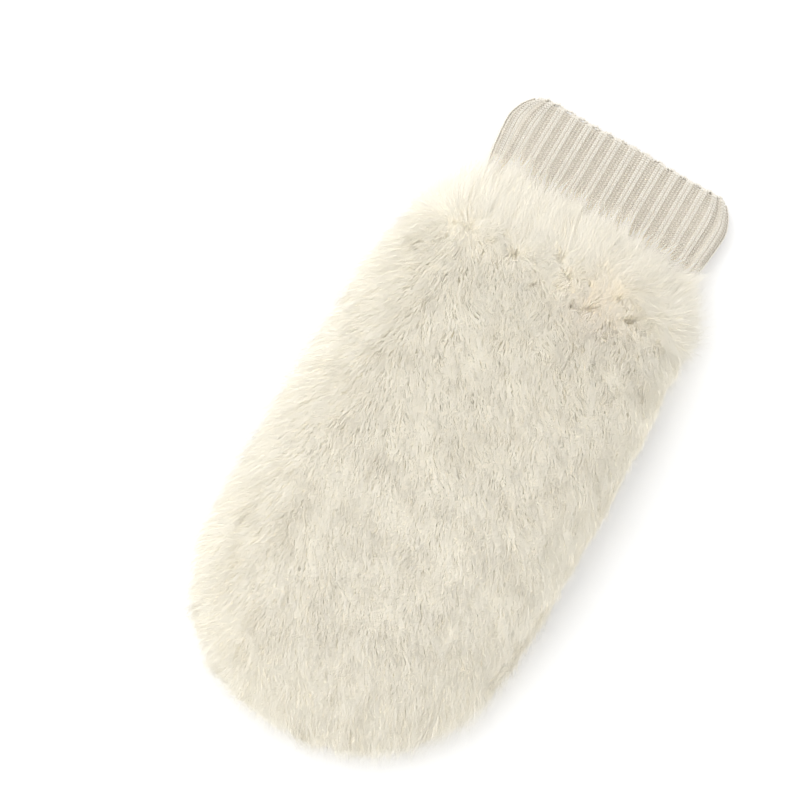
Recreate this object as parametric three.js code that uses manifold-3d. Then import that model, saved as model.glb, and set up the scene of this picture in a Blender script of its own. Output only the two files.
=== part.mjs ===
// A fur-backed mitten for the left hand, lying palm down: a ribbed cuff, a knitted hand with a
// thumb folded under the palm, a knitted fingertip cap whose ribbed band laps over the hand, a
// serged seam round the cap's palm, and a deep fur back. Millimetres, +Z up, fingers towards +Y.
import * as THREE from "three";
import { mergeVertices } from "three/addons/utils/BufferGeometryUtils.js";
import Module from "manifold-3d";

const wasm = await Module();
wasm.setup();

// Places along the mitten are measured from the mouth of the cuff.
const CUFF_LENGTH = 48;
const BAND_START = 137;
const BAND_END = 161;
const BAND_MIDDLE = 150;
const BAND_EDGE = 0.504;
const HAND_END = 152;
const DRAWN_IN = { from: 123, to: 136 };
const THUMB_START = 60;
const THUMB_CENTRE = 22;

// Walls, and the gap between neighbouring pieces.
const GAP = 0.35;
const FUR_GAP = 0.9;
const KNIT = 1.8;
const CUFF_WALL = 2.1;
const CUFF_WIDEST = 14;
const CUFF_RIBS = 32;
const CUFF_RIB_DEPTH = 0.8;
const BAND_RIBS = 20;
const BAND_RIB_DEPTH = 0.6;
const SEAM = { radius: 1.25, off: 1.05, inset: 4.3, ripple: 0.35, waves: 34, steps: 52, sides: 3 };

// The fur back: what its pile adds to the body, the hem that it turns under, and its locks.
const PILE = { start: 48.7, over: 6.5, side: 7, under: 3.5, end: 7, lift: 0.8 };
const HEM = 7;
const CROWN = 68;
const LOCK = { first: 5, along: 25, across: 24, jitter: 3, fromTurn: -0.05, toTurn: 0.55 };
const CLOSE_LOCKS = { from: 228, along: 15 };

// A lock's rings: how far each is along the way that the fur is combed and above the pile, half
// its width, and the height of its ridge.
const LOCK_RINGS = [
  { ahead: -12, up: -3, half: 9, ridge: 2 },
  { ahead: 6, up: -0.6, half: 11, ridge: 6.5 },
  { ahead: 23, up: 4, half: 0.4, ridge: 0.4 },
];

// Outside of the cuff, to the tops of its ribs.
const CUFF_SECTIONS = [
  { at: 0, half: 44, under: 0.9, over: 14.6, centre: 0 },
  { at: 6, half: 48.6, under: 0, over: 16.6, centre: 0 },
  { at: 14, half: 50.6, under: 0, over: 17.4, centre: 0 },
  { at: 48, half: 46.4, under: 0, over: 17.6, centre: 0 },
];

// Outside of the hand and cap, before the fingertip end is rounded off.
const BODY_SECTIONS = [
  { at: 48, half: 46.2, under: 0.4, over: 17.2, centre: 0 },
  { at: 60, half: 47.6, under: 1.4, over: 20.5, centre: 0 },
  { at: 72, half: 49.4, under: 4.6, over: 24, centre: 0 },
  { at: 88, half: 51.6, under: 9.6, over: 27.6, centre: 0 },
  { at: 104, half: 53, under: 11.8, over: 30, centre: 0 },
  { at: 150, half: 54, under: 12, over: 31, centre: 0 },
  { at: 172, half: 54, under: 11.6, over: 30.5, centre: 0 },
  { at: 196, half: 54, under: 5.4, over: 27.5, centre: 1 },
  { at: 214, half: 54, under: 1.2, over: 25, centre: 3 },
  { at: 236, half: 54, under: 0.6, over: 22.5, centre: 5 },
  { at: 257, half: 54, under: 0.6, over: 20.5, centre: 7 },
];

// Outside of the thumb, from its start inside the palm.
const THUMB_SECTIONS = [
  { at: 0, half: 21, under: 4.2, over: 14.2, centre: 0 },
  { at: 14, half: 19.6, under: 2, over: 12.6, centre: 0 },
  { at: 30, half: 18.2, under: 0.2, over: 11.4, centre: 0 },
  { at: 50, half: 17.2, under: -0.3, over: 11.1, centre: 0 },
  { at: 115, half: 16.6, under: -0.3, over: 11.1, centre: 0 },
];

// Sides of the round solids, outside and inside.
const BODY_SIDES = 30;
const BORE_SIDES = 20;
const THUMB_SIDES = 18;
const THUMB_BORE_SIDES = 12;

const SECTION_POWER = 2.6;
const SMALLEST = 0.2;
const MEASURES = 1000;
const TIP_LID = 0.3;
const SLIVER = 0.35;

// A form is a table of sections, and the place from which its far end is rounded off. "straight" is
// the share of the width whose ribs run straight on where the form narrows.
const CUFF_FORM = { table: CUFF_SECTIONS, straight: 0.7 };
const BODY_FORM = { table: BODY_SECTIONS, roundFrom: 188, x: 0, y: 0 };
const THUMB_FORM = { table: THUMB_SECTIONS, roundFrom: 92, x: THUMB_CENTRE, y: THUMB_START };

// The same form with margins added to its sides, top, underside and far end.
function grown(form, margin) {
  const last = form.table.length - 1;
  const table = form.table.map((row, i) => ({
    at: row.at + (i === last ? margin.end : 0),
    half: row.half + margin.side,
    under: row.under - margin.under,
    over: row.over + margin.over,
    centre: row.centre,
  }));
  return { ...form, table };
}

const even = (size) => ({ side: size, over: size, under: size, end: size });
const PILE_FORM = grown(BODY_FORM, PILE);
const WINDOW_FORM = grown(BODY_FORM, { side: -HEM, over: 0, under: 0, end: -HEM });
const SEAM_ROUTE = grown(WINDOW_FORM, { side: -SEAM.inset, over: 0, under: 0, end: -SEAM.inset });

function lengthOf(form) {
  return form.table[form.table.length - 1].at;
}

// A smooth curve through one column of a form's table.
function column(table, name, at) {
  const last = table.length - 1;
  const above = table.findIndex((row) => row.at >= at);
  const k = above < 0 ? last : Math.max(1, above);
  const slope = (i) => {
    const [a, b] = [table[Math.max(0, i - 1)], table[Math.min(last, i + 1)]];
    return (b[name] - a[name]) / (b.at - a.at);
  };
  const [a, b] = [table[k - 1], table[k]];
  const span = b.at - a.at;
  const t = THREE.MathUtils.clamp((at - a.at) / span, 0, 1);
  const ease = t * t * (3 - 2 * t);
  const bow = span * t * (1 - t);
  return a[name] + (b[name] - a[name]) * ease + bow * ((1 - t) * slope(k - 1) - t * slope(k));
}

// How much of the full size is left at a place where the far end is rounded off.
function roundedEnd(form, at, power) {
  if (!form.roundFrom) return 1;
  const t = (at - form.roundFrom) / (lengthOf(form) - form.roundFrom);
  return Math.sqrt(Math.max(0, 1 - THREE.MathUtils.clamp(t, 0, 1) ** power));
}

function section(form, at) {
  const [under, over] = [column(form.table, "under", at), column(form.table, "over", at)];
  return {
    x: (form.x ?? 0) + column(form.table, "centre", at),
    half: column(form.table, "half", at) * roundedEnd(form, at, 2.3),
    z: (over + under) / 2,
    rise: ((over - under) / 2) * roundedEnd(form, at, 3.4),
  };
}

// How far from the middle a share of the half width is, where a form narrows at its edges alone.
function narrowed(form, half, share) {
  if (!form.straight) return half * share;
  const widest = Math.max(half, ...form.table.map((row) => row.half));
  const kept = form.straight * widest;
  const reach = Math.abs(share) * widest;
  const drawn = Math.max(0, reach - kept) * ((widest - half) / (widest - kept));
  return Math.sign(share) * (reach - drawn);
}

// A point on a form. Turn 0 is the +X side and 0.25 the top; swell moves it outwards.
function formPoint(form, at, turn, swell = 0, floor = 0) {
  const cut = section(form, at);
  const bow = (v) => Math.sign(v) * Math.abs(v) ** (2 / SECTION_POWER);
  const [c, s] = [Math.cos(turn * 2 * Math.PI), Math.sin(turn * 2 * Math.PI)];
  const x = cut.x + narrowed(form, Math.max(SMALLEST, cut.half + swell), bow(c));
  const z = cut.z + Math.max(SMALLEST, cut.rise + swell) * bow(s);
  return new THREE.Vector3(x, (form.y ?? 0) + at, Math.max(z, floor));
}

// The triangles of a lid on a ring whose points go once across it and once back.
function lidFaces(ring) {
  const step = (i, by) => (i + by + ring.length) % ring.length;
  let last = ring.reduce((far, p, i) => (p.x > ring[far].x ? i : far), 0);
  let first = step(last, 1);
  const faces = [];
  while (faces.length < ring.length - 2) {
    const [on, back] = [step(first, 1), step(last, -1)];
    if (ring[on].x > ring[back].x) {
      faces.push([first, on, last]);
      first = on;
    } else {
      faces.push([first, back, last]);
      last = back;
    }
  }
  return faces;
}

// A closed surface over rings of points, with a flat lid at each end.
function loftGeometry(rings) {
  const count = rings[0].length;
  const positions = rings.flat().flatMap((p) => p.toArray());
  const index = [];
  for (let r = 0; r + 1 < rings.length; r++) {
    for (let i = 0; i < count; i++) {
      const [a, b] = [r * count + i, r * count + ((i + 1) % count)];
      index.push(a, a + count, b, b, a + count, b + count);
    }
  }
  const far = (rings.length - 1) * count;
  for (const face of lidFaces(rings[0])) index.push(...face);
  for (const [a, b, c] of lidFaces(rings[rings.length - 1])) index.push(far + c, far + b, far + a);
  const made = new THREE.BufferGeometry();
  made.setAttribute("position", new THREE.Float32BufferAttribute(positions, 3));
  made.setIndex(index);
  return made;
}

// A closed surface as a solid that can be cut and joined.
function solid(geometry) {
  const bare = geometry.clone();
  bare.deleteAttribute("normal");
  bare.deleteAttribute("uv");
  const merged = mergeVertices(bare, 1e-4);
  return new wasm.Manifold(
    new wasm.Mesh({
      numProp: 3,
      vertProperties: new Float32Array(merged.attributes.position.array),
      triVerts: new Uint32Array(merged.index.array),
    }),
  );
}

function geometryOf(made) {
  const mesh = made.getMesh();
  const geometry = new THREE.BufferGeometry();
  geometry.setAttribute("position", new THREE.BufferAttribute(mesh.vertProperties, 3));
  geometry.setIndex(new THREE.BufferAttribute(mesh.triVerts, 1));
  geometry.computeVertexNormals();
  return geometry;
}

// A solid lofted along a form. "turns" are the places round each ring, "swell" moves the surface
// outwards at each of them, "ahead" reads the sections from further along, and "floor" is the lowest
// that it goes.
function lofted(form, places, { turns, swell = () => 0, ahead = 0, floor = 0 }) {
  const rings = places.map((at) =>
    turns.map((turn, i) => {
      const point = formPoint(form, at + ahead, turn, swell(at, i), floor);
      point.y -= ahead;
      return point;
    }),
  );
  return solid(loftGeometry(rings));
}

function roundTurns(count) {
  return Array.from({ length: count }, (_, i) => i / count);
}

// Turns that divide a form's outline at one place into even lengths, between two turns.
function evenTurns(form, at, count, from = 0, to = 1) {
  const fine = Array.from({ length: MEASURES + 1 }, (_, i) => from + ((to - from) * i) / MEASURES);
  const points = fine.map((turn) => formPoint(form, at, turn));
  const run = [0];
  for (let i = 1; i <= MEASURES; i++) run.push(run[i - 1] + points[i].distanceTo(points[i - 1]));
  return Array.from({ length: count }, (_, i) => {
    const length = (i / count) * run[MEASURES];
    return fine[run.findIndex((value) => value >= length)];
  });
}

// Places along a form from one that is given to its far end, closer together at the end.
function placesToEnd(form, from, straight, round) {
  const places = [];
  for (let i = 0; i < straight; i++) {
    places.push(from + ((form.roundFrom - from) * i) / straight);
  }
  for (let i = 0; i <= round; i++) {
    const share = Math.sin((i / round) * 0.5 * Math.PI);
    places.push(form.roundFrom + (lengthOf(form) - TIP_LID - form.roundFrom) * share);
  }
  return places;
}

// Ribs that stand out and in again, as flat-topped waves of height 1, with four points to a rib.
function ribWave(i) {
  return i % 4 < 2 ? 1 : -1;
}

function cuffSolid() {
  const places = [0, 6, CUFF_WIDEST, CUFF_LENGTH - GAP];
  const swell = (at, i) => CUFF_RIB_DEPTH * (ribWave(i) - 1);
  const turns = evenTurns(CUFF_FORM, CUFF_WIDEST, CUFF_RIBS * 4);
  const outer = lofted(CUFF_FORM, places, { turns, swell });
  const bore = lofted(CUFF_FORM, [-2, 6, CUFF_WIDEST, CUFF_LENGTH + 2], {
    turns: turns.filter((_, i) => i % 4 === 0),
    swell: () => -2 * CUFF_RIB_DEPTH - CUFF_WALL,
    floor: CUFF_WALL,
  });
  return outer.subtract(bore);
}

// The hand goes on inside the cap, so it draws in where the cap's band laps over it.
function handInset(at) {
  const drawn = THREE.MathUtils.smoothstep(at, DRAWN_IN.from, DRAWN_IN.to);
  return -drawn * (KNIT + 2 * BAND_RIB_DEPTH + GAP);
}

const HAND_PLACES = [CUFF_LENGTH, 60, 72, 88, 104, DRAWN_IN.from];

function handSolid(thumbBore) {
  const places = [...HAND_PLACES, 130, DRAWN_IN.to, HAND_END];
  const outer = lofted(BODY_FORM, places, { turns: roundTurns(BODY_SIDES), swell: handInset });
  const bore = lofted(BODY_FORM, [CUFF_LENGTH - 1, ...places.slice(1, -1), HAND_END + 1], {
    turns: roundTurns(BORE_SIDES),
    swell: (at) => handInset(at) - KNIT,
    floor: KNIT,
  });
  return outer.subtract(bore).subtract(thumbBore);
}

function thumbParts() {
  const places = [0, 14, 30, 50, 72, ...placesToEnd(THUMB_FORM, THUMB_FORM.roundFrom, 0, 5)];
  const outer = lofted(THUMB_FORM, places, { turns: roundTurns(THUMB_SIDES) });
  const bore = lofted(THUMB_FORM, [-2, ...places.slice(1).map((at) => at - KNIT)], {
    turns: roundTurns(THUMB_BORE_SIDES),
    swell: () => -KNIT,
    ahead: KNIT,
    floor: KNIT,
  });
  const hand = lofted(grown(BODY_FORM, even(GAP)), [...HAND_PLACES, HAND_END], {
    turns: roundTurns(BODY_SIDES),
    floor: -10,
  });
  return { thumb: outer.subtract(bore).subtract(hand), bore };
}

// The band's ribs are on its underside, and its top, which the fur covers, is plain.
function bandSolid() {
  const end = BAND_END - GAP;
  const top = roundTurns(BODY_SIDES).filter((turn) => turn < 0.5);
  const under = evenTurns(BODY_FORM, BAND_MIDDLE, BAND_RIBS * 4, BAND_EDGE, 1.5 - BAND_EDGE);
  const swell = (at, i) => (i < top.length ? 0 : BAND_RIB_DEPTH * (ribWave(i - top.length) - 1));
  const outer = lofted(BODY_FORM, [BAND_START, BAND_MIDDLE, end], { turns: [...top, ...under], swell });
  const bore = lofted(BODY_FORM, [BAND_START - 1, BAND_MIDDLE, end + 1], {
    turns: roundTurns(BODY_SIDES),
    swell: () => -KNIT - 2 * BAND_RIB_DEPTH,
    floor: KNIT,
  });
  return outer.subtract(bore);
}

function capSolid() {
  const places = [BAND_END, 172, ...placesToEnd(BODY_FORM, BODY_FORM.roundFrom, 0, 7)];
  const outer = lofted(BODY_FORM, places, { turns: roundTurns(BODY_SIDES) });
  const bore = lofted(BODY_FORM, [BAND_END - 1, ...places.slice(1).map((at) => at - KNIT)], {
    turns: roundTurns(BORE_SIDES),
    swell: () => -KNIT,
    ahead: KNIT,
    floor: KNIT,
  });
  return outer.subtract(bore);
}

// A rippled cord on the cap's underside, beside the fur's hem, from one end of the band to the other.
function seamSolid() {
  const places = placesToEnd(SEAM_ROUTE, BAND_START + SEAM.inset, 8, 10);
  const route = [...places.map((at) => [at, 1]), ...places.map((at) => [at, -1]).reverse()];
  const points = route.map(([at, side], i) => {
    const edge = section(SEAM_ROUTE, at);
    const cut = section(BODY_FORM, at);
    const x = (edge.x - cut.x + side * edge.half) / cut.half;
    const turn = -Math.acos(Math.sign(x) * Math.abs(x) ** (SECTION_POWER / 2)) / (2 * Math.PI);
    const wave = SEAM.ripple * Math.sin((i / route.length) * SEAM.waves * 2 * Math.PI);
    return formPoint(BODY_FORM, at, turn, SEAM.off + SEAM.radius + wave, SEAM.radius);
  });
  const shape = new THREE.Shape();
  shape.absarc(0, 0, SEAM.radius, 0, 2 * Math.PI, false);
  const path = new THREE.CatmullRomCurve3(points, false, "centripetal");
  const made = new THREE.ExtrudeGeometry(shape, {
    steps: SEAM.steps,
    curveSegments: SEAM.sides,
    extrudePath: path,
    bevelEnabled: false,
  });
  return solid(made);
}

// The opening in the fur's underside, through which the knitted palm shows.
function windowSolid() {
  const places = [CUFF_LENGTH - 6, 60, ...placesToEnd(WINDOW_FORM, 80, 5, 8)];
  const rings = places.map((at) => {
    const cut = section(WINDOW_FORM, at);
    const [left, right] = [cut.x - cut.half, cut.x + cut.half];
    const corners = [[right, cut.z], [left, cut.z], [left, -9], [right, -9]];
    return corners.map(([x, z]) => new THREE.Vector3(x, at, z));
  });
  return solid(loftGeometry(rings));
}

// An even scatter between -1 and 1 that is the same every time.
function scatter(i, channel) {
  const wave = Math.sin(i * 12.9898 + channel * 78.233) * 43758.5453;
  return 2 * (wave - Math.floor(wave)) - 1;
}

// Which way the fur is combed: on to the fingertips and to the -X side, fanning out at the +X side,
// and back over the cuff below the crown. "side" runs from -1 to 1 across the mitten.
function combed(at, side) {
  const on = THREE.MathUtils.clamp((at - CROWN) / 12, -1, 1);
  const across = on > 0 ? -0.5 + 0.7 * side + 0.4 * side ** 2 : 0.4 * side;
  return new THREE.Vector3(across, on, -0.3 * side ** 4);
}

// One lock of fur: a three-sided tongue, rooted in the pile, that rises to a point.
function lockSolid(at, turn, i) {
  const root = formPoint(PILE_FORM, at, turn, 0, PILE.lift);
  const along = formPoint(PILE_FORM, at + 0.5, turn, 0, PILE.lift).sub(root).normalize();
  const across = formPoint(PILE_FORM, at, turn + 0.004, 0, PILE.lift).sub(root).normalize();
  const out = new THREE.Vector3().crossVectors(across, along).normalize();
  const lay = combed(at, Math.cos(turn * 2 * Math.PI));
  lay.x += 0.25 * scatter(i, 1);
  lay.addScaledVector(out, -lay.dot(out)).normalize();
  const aside = new THREE.Vector3().crossVectors(out, lay);
  const size = 1 + 0.16 * scatter(i, 2);
  const rings = LOCK_RINGS.map(({ ahead, up, half, ridge }) => {
    const middle = root.clone().addScaledVector(lay, ahead * size).addScaledVector(out, up * size);
    const corners = [[0, ridge], [half, 0], [-half, 0]];
    return corners.map(([wide, high]) => {
      const corner = middle.clone().addScaledVector(aside, wide).addScaledVector(out, high);
      corner.z = Math.max(corner.z, PILE.lift);
      return corner;
    });
  });
  return solid(loftGeometry(rings));
}

// Locks in staggered rows from the cuff to the fingertips, across the back and down both sides.
function locks() {
  const made = [];
  const last = lengthOf(PILE_FORM);
  let row = 0;
  for (let at = PILE.start + LOCK.first; at < last - 1; row++) {
    const cut = section(PILE_FORM, at);
    const count = Math.max(1, Math.round((2 * cut.half + cut.rise) / LOCK.across));
    for (let k = 0; k <= count; k++) {
      const share = (k + (row % 2 ? 0.5 : 0)) / (count + 0.5);
      const i = made.length;
      const turn = LOCK.fromTurn + (LOCK.toTurn - LOCK.fromTurn) * share;
      made.push(lockSolid(at + LOCK.jitter * scatter(i, 5), turn, i));
    }
    at += at > CLOSE_LOCKS.from ? CLOSE_LOCKS.along : LOCK.along;
  }
  return made;
}

// The pile and its locks in one piece, without the chips that the cuts can leave loose.
function furSolid() {
  const straight = [...HAND_PLACES.slice(1), BAND_START, BAND_END];
  const places = [PILE.start, 60, 72, 88, 104, BAND_MIDDLE, ...placesToEnd(PILE_FORM, 172, 1, 7)];
  const pile = lofted(PILE_FORM, places, { turns: roundTurns(BODY_SIDES), floor: PILE.lift });
  const clear = grown(BODY_FORM, even(FUR_GAP));
  const inner = lofted(clear, [PILE.start - 1, ...straight, ...placesToEnd(clear, 172, 1, 7)], {
    turns: roundTurns(BODY_SIDES),
    floor: -10,
  });
  const tufted = wasm.Manifold.union([pile, ...locks()]);
  const cuff = lofted(grown(CUFF_FORM, even(FUR_GAP)), [0, 6, CUFF_WIDEST, CUFF_LENGTH + 3], {
    turns: roundTurns(BODY_SIDES),
    floor: -10,
  });
  const cut = tufted.subtract(inner).subtract(cuff).subtract(windowSolid()).simplify(SLIVER);
  const [largest] = cut.decompose().sort((a, b) => b.volume() - a.volume());
  return largest;
}

// Colours and finishes.
const WOOL = new THREE.MeshStandardMaterial({ color: "#e6dfd2", roughness: 0.95, metalness: 0 });
const THREAD = new THREE.MeshStandardMaterial({ color: "#d8cfc0", roughness: 0.9, metalness: 0 });
const FUR = new THREE.MeshStandardMaterial({ color: "#ece6d6", roughness: 0.9, metalness: 0 });

function piece(name, made, material) {
  const mesh = new THREE.Mesh(geometryOf(made), material);
  mesh.name = name;
  return mesh;
}

const { thumb, bore } = thumbParts();
const mitten = new THREE.Group();
mitten.add(
  piece("rib_cuff", cuffSolid(), WOOL),
  piece("hand", handSolid(bore), WOOL),
  piece("thumb", thumb, WOOL),
  piece("cap_band", bandSolid(), WOOL),
  piece("cap", capSolid(), WOOL),
  piece("cap_seam", seamSolid(), THREAD),
  piece("fur_back", furSolid(), FUR),
);

// The origin is on the surface that the mitten lies on, below the middle of its outline.
const outline = new THREE.Box3().setFromObject(mitten);
const middle = outline.getCenter(new THREE.Vector3());
mitten.position.set(-middle.x, -middle.y, -outline.min.z);

export default mitten;
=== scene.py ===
"""A fur-backed knitted mitten: ribbed cuff, stockinette palm and thumb, flip-top cap, fur back."""

import math
from functools import partial

import bpy
import numpy as np
from bpy.props import FloatProperty, FloatVectorProperty, IntProperty, PointerProperty
from mathutils import Matrix, Vector


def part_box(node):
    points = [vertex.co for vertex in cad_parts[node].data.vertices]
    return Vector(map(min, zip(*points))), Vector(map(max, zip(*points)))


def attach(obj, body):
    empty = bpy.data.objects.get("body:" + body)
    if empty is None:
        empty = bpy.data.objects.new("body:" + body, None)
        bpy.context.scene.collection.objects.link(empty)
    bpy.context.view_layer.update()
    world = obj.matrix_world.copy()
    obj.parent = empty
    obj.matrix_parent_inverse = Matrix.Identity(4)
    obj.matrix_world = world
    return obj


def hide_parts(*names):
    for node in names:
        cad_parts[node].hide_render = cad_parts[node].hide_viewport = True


bl_info = {
    "name": "Fur-backed mitten",
    "version": (1, 0, 0),
    "blender": (4, 5, 0),
    "location": "View3D > Sidebar > Mitten",
    "description": "Builds a knitted mitten with a deep fur back, piece by piece",
    "category": "Object",
}

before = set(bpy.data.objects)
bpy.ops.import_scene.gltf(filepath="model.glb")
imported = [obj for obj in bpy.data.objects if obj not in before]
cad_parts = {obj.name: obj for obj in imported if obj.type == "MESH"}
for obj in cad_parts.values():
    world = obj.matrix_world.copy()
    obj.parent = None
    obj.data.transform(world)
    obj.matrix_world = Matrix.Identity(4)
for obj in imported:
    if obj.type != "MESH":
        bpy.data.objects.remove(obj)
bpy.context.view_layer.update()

# Sizes below are millimetres, with places measured from the middle of the cuff's mouth.
MM = 0.001
LOWEST = 0.05
HAND_LOW, HAND_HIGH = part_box("hand")
MOUTH = Vector(((HAND_LOW.x + HAND_HIGH.x) / 2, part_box("rib_cuff")[0].y, 0.0))

# The solids' forms: where each section is along the mitten, half its width, its lowest and
# highest points, and how far its middle is moved across.
COLUMNS = ("at", "half", "under", "over", "centre")
CUFF_SECTIONS = (
    (0, 44, 0.9, 14.6, 0),
    (6, 48.6, 0, 16.6, 0),
    (14, 50.6, 0, 17.4, 0),
    (48, 46.4, 0, 17.6, 0),
)
BODY_SECTIONS = (
    (48, 46.2, 0.4, 17.2, 0),
    (60, 47.6, 1.4, 20.5, 0),
    (72, 49.4, 4.6, 24, 0),
    (88, 51.6, 9.6, 27.6, 0),
    (104, 53, 11.8, 30, 0),
    (150, 54, 12, 31, 0),
    (172, 54, 11.6, 30.5, 0),
    (196, 54, 5.4, 27.5, 1),
    (214, 54, 1.2, 25, 3),
    (236, 54, 0.6, 22.5, 5),
    (257, 54, 0.6, 20.5, 7),
)
THUMB_SECTIONS = (
    (0, 21, 4.2, 14.2, 0),
    (14, 19.6, 2, 12.6, 0),
    (30, 18.2, 0.2, 11.4, 0),
    (50, 17.2, -0.3, 11.1, 0),
    (115, 16.6, -0.3, 11.1, 0),
)

# How square a section is, and how bluntly a form's sides and its top and underside are rounded off.
SECTION_POWER = 2.6
SIDE_ROUNDING = 2.3
TOP_ROUNDING = 3.4
SMALLEST = 0.05

# Places along the mitten, with the root of the thumb across and along it.
CUFF_MIDDLE = 20.0
CUFF_LENGTH = 47.65
HAND_START = 48.0
FUR_START = 48.7
THUMB_X = 22.0
THUMB_Y = 60.0
BAND_START = 137.0
BAND_MIDDLE = 150.0
HAND_END = 152.0
BAND_END = 160.65
CAP_START = 161.0
TIP_FROM = 190.0

# Ribs and stitches: how many ribs there are and how deep, how far they reach round, the widths and
# heights of a stitch, the yarn's radius, and how far purl stitches are sunk.
CUFF_RIBS = 32
CUFF_RIB_DEPTH = 0.8
CUFF_ROUND = 202.0
BAND_RIBS = 20
BAND_RIB_DEPTH = 0.6
BAND_ACROSS = 128.0
BAND_TURNS = (0.504, 0.996)
COURSE = 1.05
RIB_WALE = 1.5
STOCKINETTE_COURSE = 1.0
WALE = 1.35
YARN = 0.45
PURL_SUNK = 0.95

# Thicknesses, and the gaps between layers. The hem is how far the fur is turned under.
KNIT = 1.8
CUFF_WALL = 2.1
GAP = 0.35
FUR_GAP = 0.9
SKIN = 0.9
PILE_END = 7.0
HEM = 7.0

# The seam's place inside the hem, its radius, and how far it stands off the cap.
SEAM_INSET = 4.3
SEAM_RADIUS = 1.25
SEAM_OFF = 1.05

# The fur's crown: where its middle is across the back, how far from it the coat is stirred and
# pinker, and the length over which the lay turns round.
CROWN_X = -21.0
WHORL = 17.0
BLUSH = 12.0
TURN_OVER = 13.0

# The fur's ruffles, each with its size and its share, and the sizes of its patches and its sway.
RUFFLES = ((26, 0.8), (8, 1.5))
PATCH = 11.0
SWAY = 6.0
HAIR_LOWEST = 0.3
SKIN_ROWS = (58, 38)
SKIN_COLUMNS = 111
STRETCHES = ("fur_heel", "fur_hand", "fur_knuckles", "fur_fingers")

# The camera looks at the middle of the picture, which is across from and below the cuff's mouth.
AIM_HEIGHT = 9.0
AIM_ACROSS = 93.6
AIM_BELOW = 101.3

# The stage is in metres.
FLOOR_SIDE = 6.0
LAMP_ACROSS = 1.4
LAMP_RIGHT, LAMP_UP, LAMP_BACK = -0.55, 0.5, 1.1


def named(rows):
    """A table's columns as arrays, by name."""
    return dict(zip(COLUMNS, np.array(rows, float).T))


def form_of(rows, round_from=None, x=0.0, y=0.0, straight=None):
    """A table of sections, with the place from which its far end is rounded off. "straight" is the
    share of the width whose ribs run straight on where the form narrows."""
    return {"table": named(rows), "round_from": round_from, "x": x, "y": y, "straight": straight}


def grown(form, side, over, under, end):
    """The same form with margins added to its sides, top, underside and far end."""
    table = {name: values.copy() for name, values in form["table"].items()}
    table["at"][-1] += end
    table["half"] += side
    table["over"] += over
    table["under"] -= under
    return {**form, "table": table}


CUFF = form_of(CUFF_SECTIONS, straight=0.7)
BODY = form_of(BODY_SECTIONS, round_from=188.0)
THUMB = form_of(THUMB_SECTIONS, round_from=92.0, x=THUMB_X, y=THUMB_Y)
WINDOW = grown(BODY, -HEM, 0, 0, -HEM)
PILE = grown(BODY, 7, 6.5, 3.5, 0)
SEAM_ROUTE = grown(WINDOW, -SEAM_INSET, 0, 0, -SEAM_INSET)


def length_of(form):
    """Where a form ends."""
    return form["table"]["at"][-1]


def column(table, name, at):
    """A smooth curve through one column of a form's table."""
    places, values = table["at"], table[name]
    slopes = np.gradient(values, places, edge_order=1)
    slopes[1:-1] = (values[2:] - values[:-2]) / (places[2:] - places[:-2])
    k = np.clip(np.searchsorted(places, at), 1, len(places) - 1)
    span = places[k] - places[k - 1]
    t = np.clip((at - places[k - 1]) / span, 0, 1)
    ease = t * t * (3 - 2 * t)
    bow = span * t * (1 - t)
    step = values[k] - values[k - 1]
    return values[k - 1] + step * ease + bow * ((1 - t) * slopes[k - 1] - t * slopes[k])


def rounded_end(form, at, power):
    """How much of the full size is left where the far end is rounded off."""
    if form["round_from"] is None:
        return np.ones_like(at)
    t = (at - form["round_from"]) / (length_of(form) - form["round_from"])
    return np.sqrt(np.maximum(0, 1 - np.clip(t, 0, 1) ** power))


def narrowed(form, half, share):
    """How far from the middle a share of the half width is, where a form narrows at its edges."""
    if form["straight"] is None:
        return half * share
    widest = np.maximum(half, form["table"]["half"].max())
    kept = form["straight"] * widest
    reach = np.abs(share) * widest
    drawn = np.maximum(0, reach - kept) * (widest - half) / (widest - kept)
    return np.sign(share) * (reach - drawn)


def form_points(form, at, turn, swell=0.0, floor=-1e6):
    """Points on a form, a row for each place and a column for each turn. Turn 0 is the +X side
    and 0.25 the top, and swell moves the surface outwards."""
    at = np.asarray(at, float)[:, None]
    turn = np.asarray(turn, float)[None, :]
    under, over = (column(form["table"], name, at) for name in ("under", "over"))
    half = column(form["table"], "half", at) * rounded_end(form, at, SIDE_ROUNDING)
    rise = (over - under) / 2 * rounded_end(form, at, TOP_ROUNDING)
    c, s = np.cos(2 * np.pi * turn), np.sin(2 * np.pi * turn)
    bow = 2 / SECTION_POWER
    x = form["x"] + column(form["table"], "centre", at)
    x = x + narrowed(form, np.maximum(SMALLEST, half + swell), np.sign(c) * np.abs(c) ** bow)
    z = (over + under) / 2 + np.maximum(SMALLEST, rise + swell) * np.sign(s) * np.abs(s) ** bow
    y = form["y"] + at + 0 * turn
    return np.stack([x + 0 * y, y, np.maximum(z, floor)], axis=-1)


def even_turns(form, at, phases, first=0.0, last=1.0):
    """Turns at shares of the way, by length, round a form's outline at one place."""
    fine = np.linspace(first, last, 4001)
    line = form_points(form, [at], fine)[0]
    run = np.concatenate([[0], np.cumsum(np.linalg.norm(np.diff(line, axis=0), axis=1))])
    return np.interp(np.asarray(phases) * run[-1], run, fine)


def frames_on(form, places, turns, swell=0.0, floor=0.0):
    """Points on a form, with the ways out of it and along it."""
    places, turns = np.asarray(places, float), np.asarray(turns, float)
    here = form_points(form, places, turns, swell, floor)
    along = form_points(form, places + 0.4, turns, swell, floor) - here
    beside = form_points(form, places, turns + 0.002, swell, floor) - here
    out = np.cross(along, beside)
    out /= np.maximum(1e-9, np.linalg.norm(out, axis=-1, keepdims=True))
    along /= np.maximum(1e-9, np.linalg.norm(along, axis=-1, keepdims=True))
    return here, out, along


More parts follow.
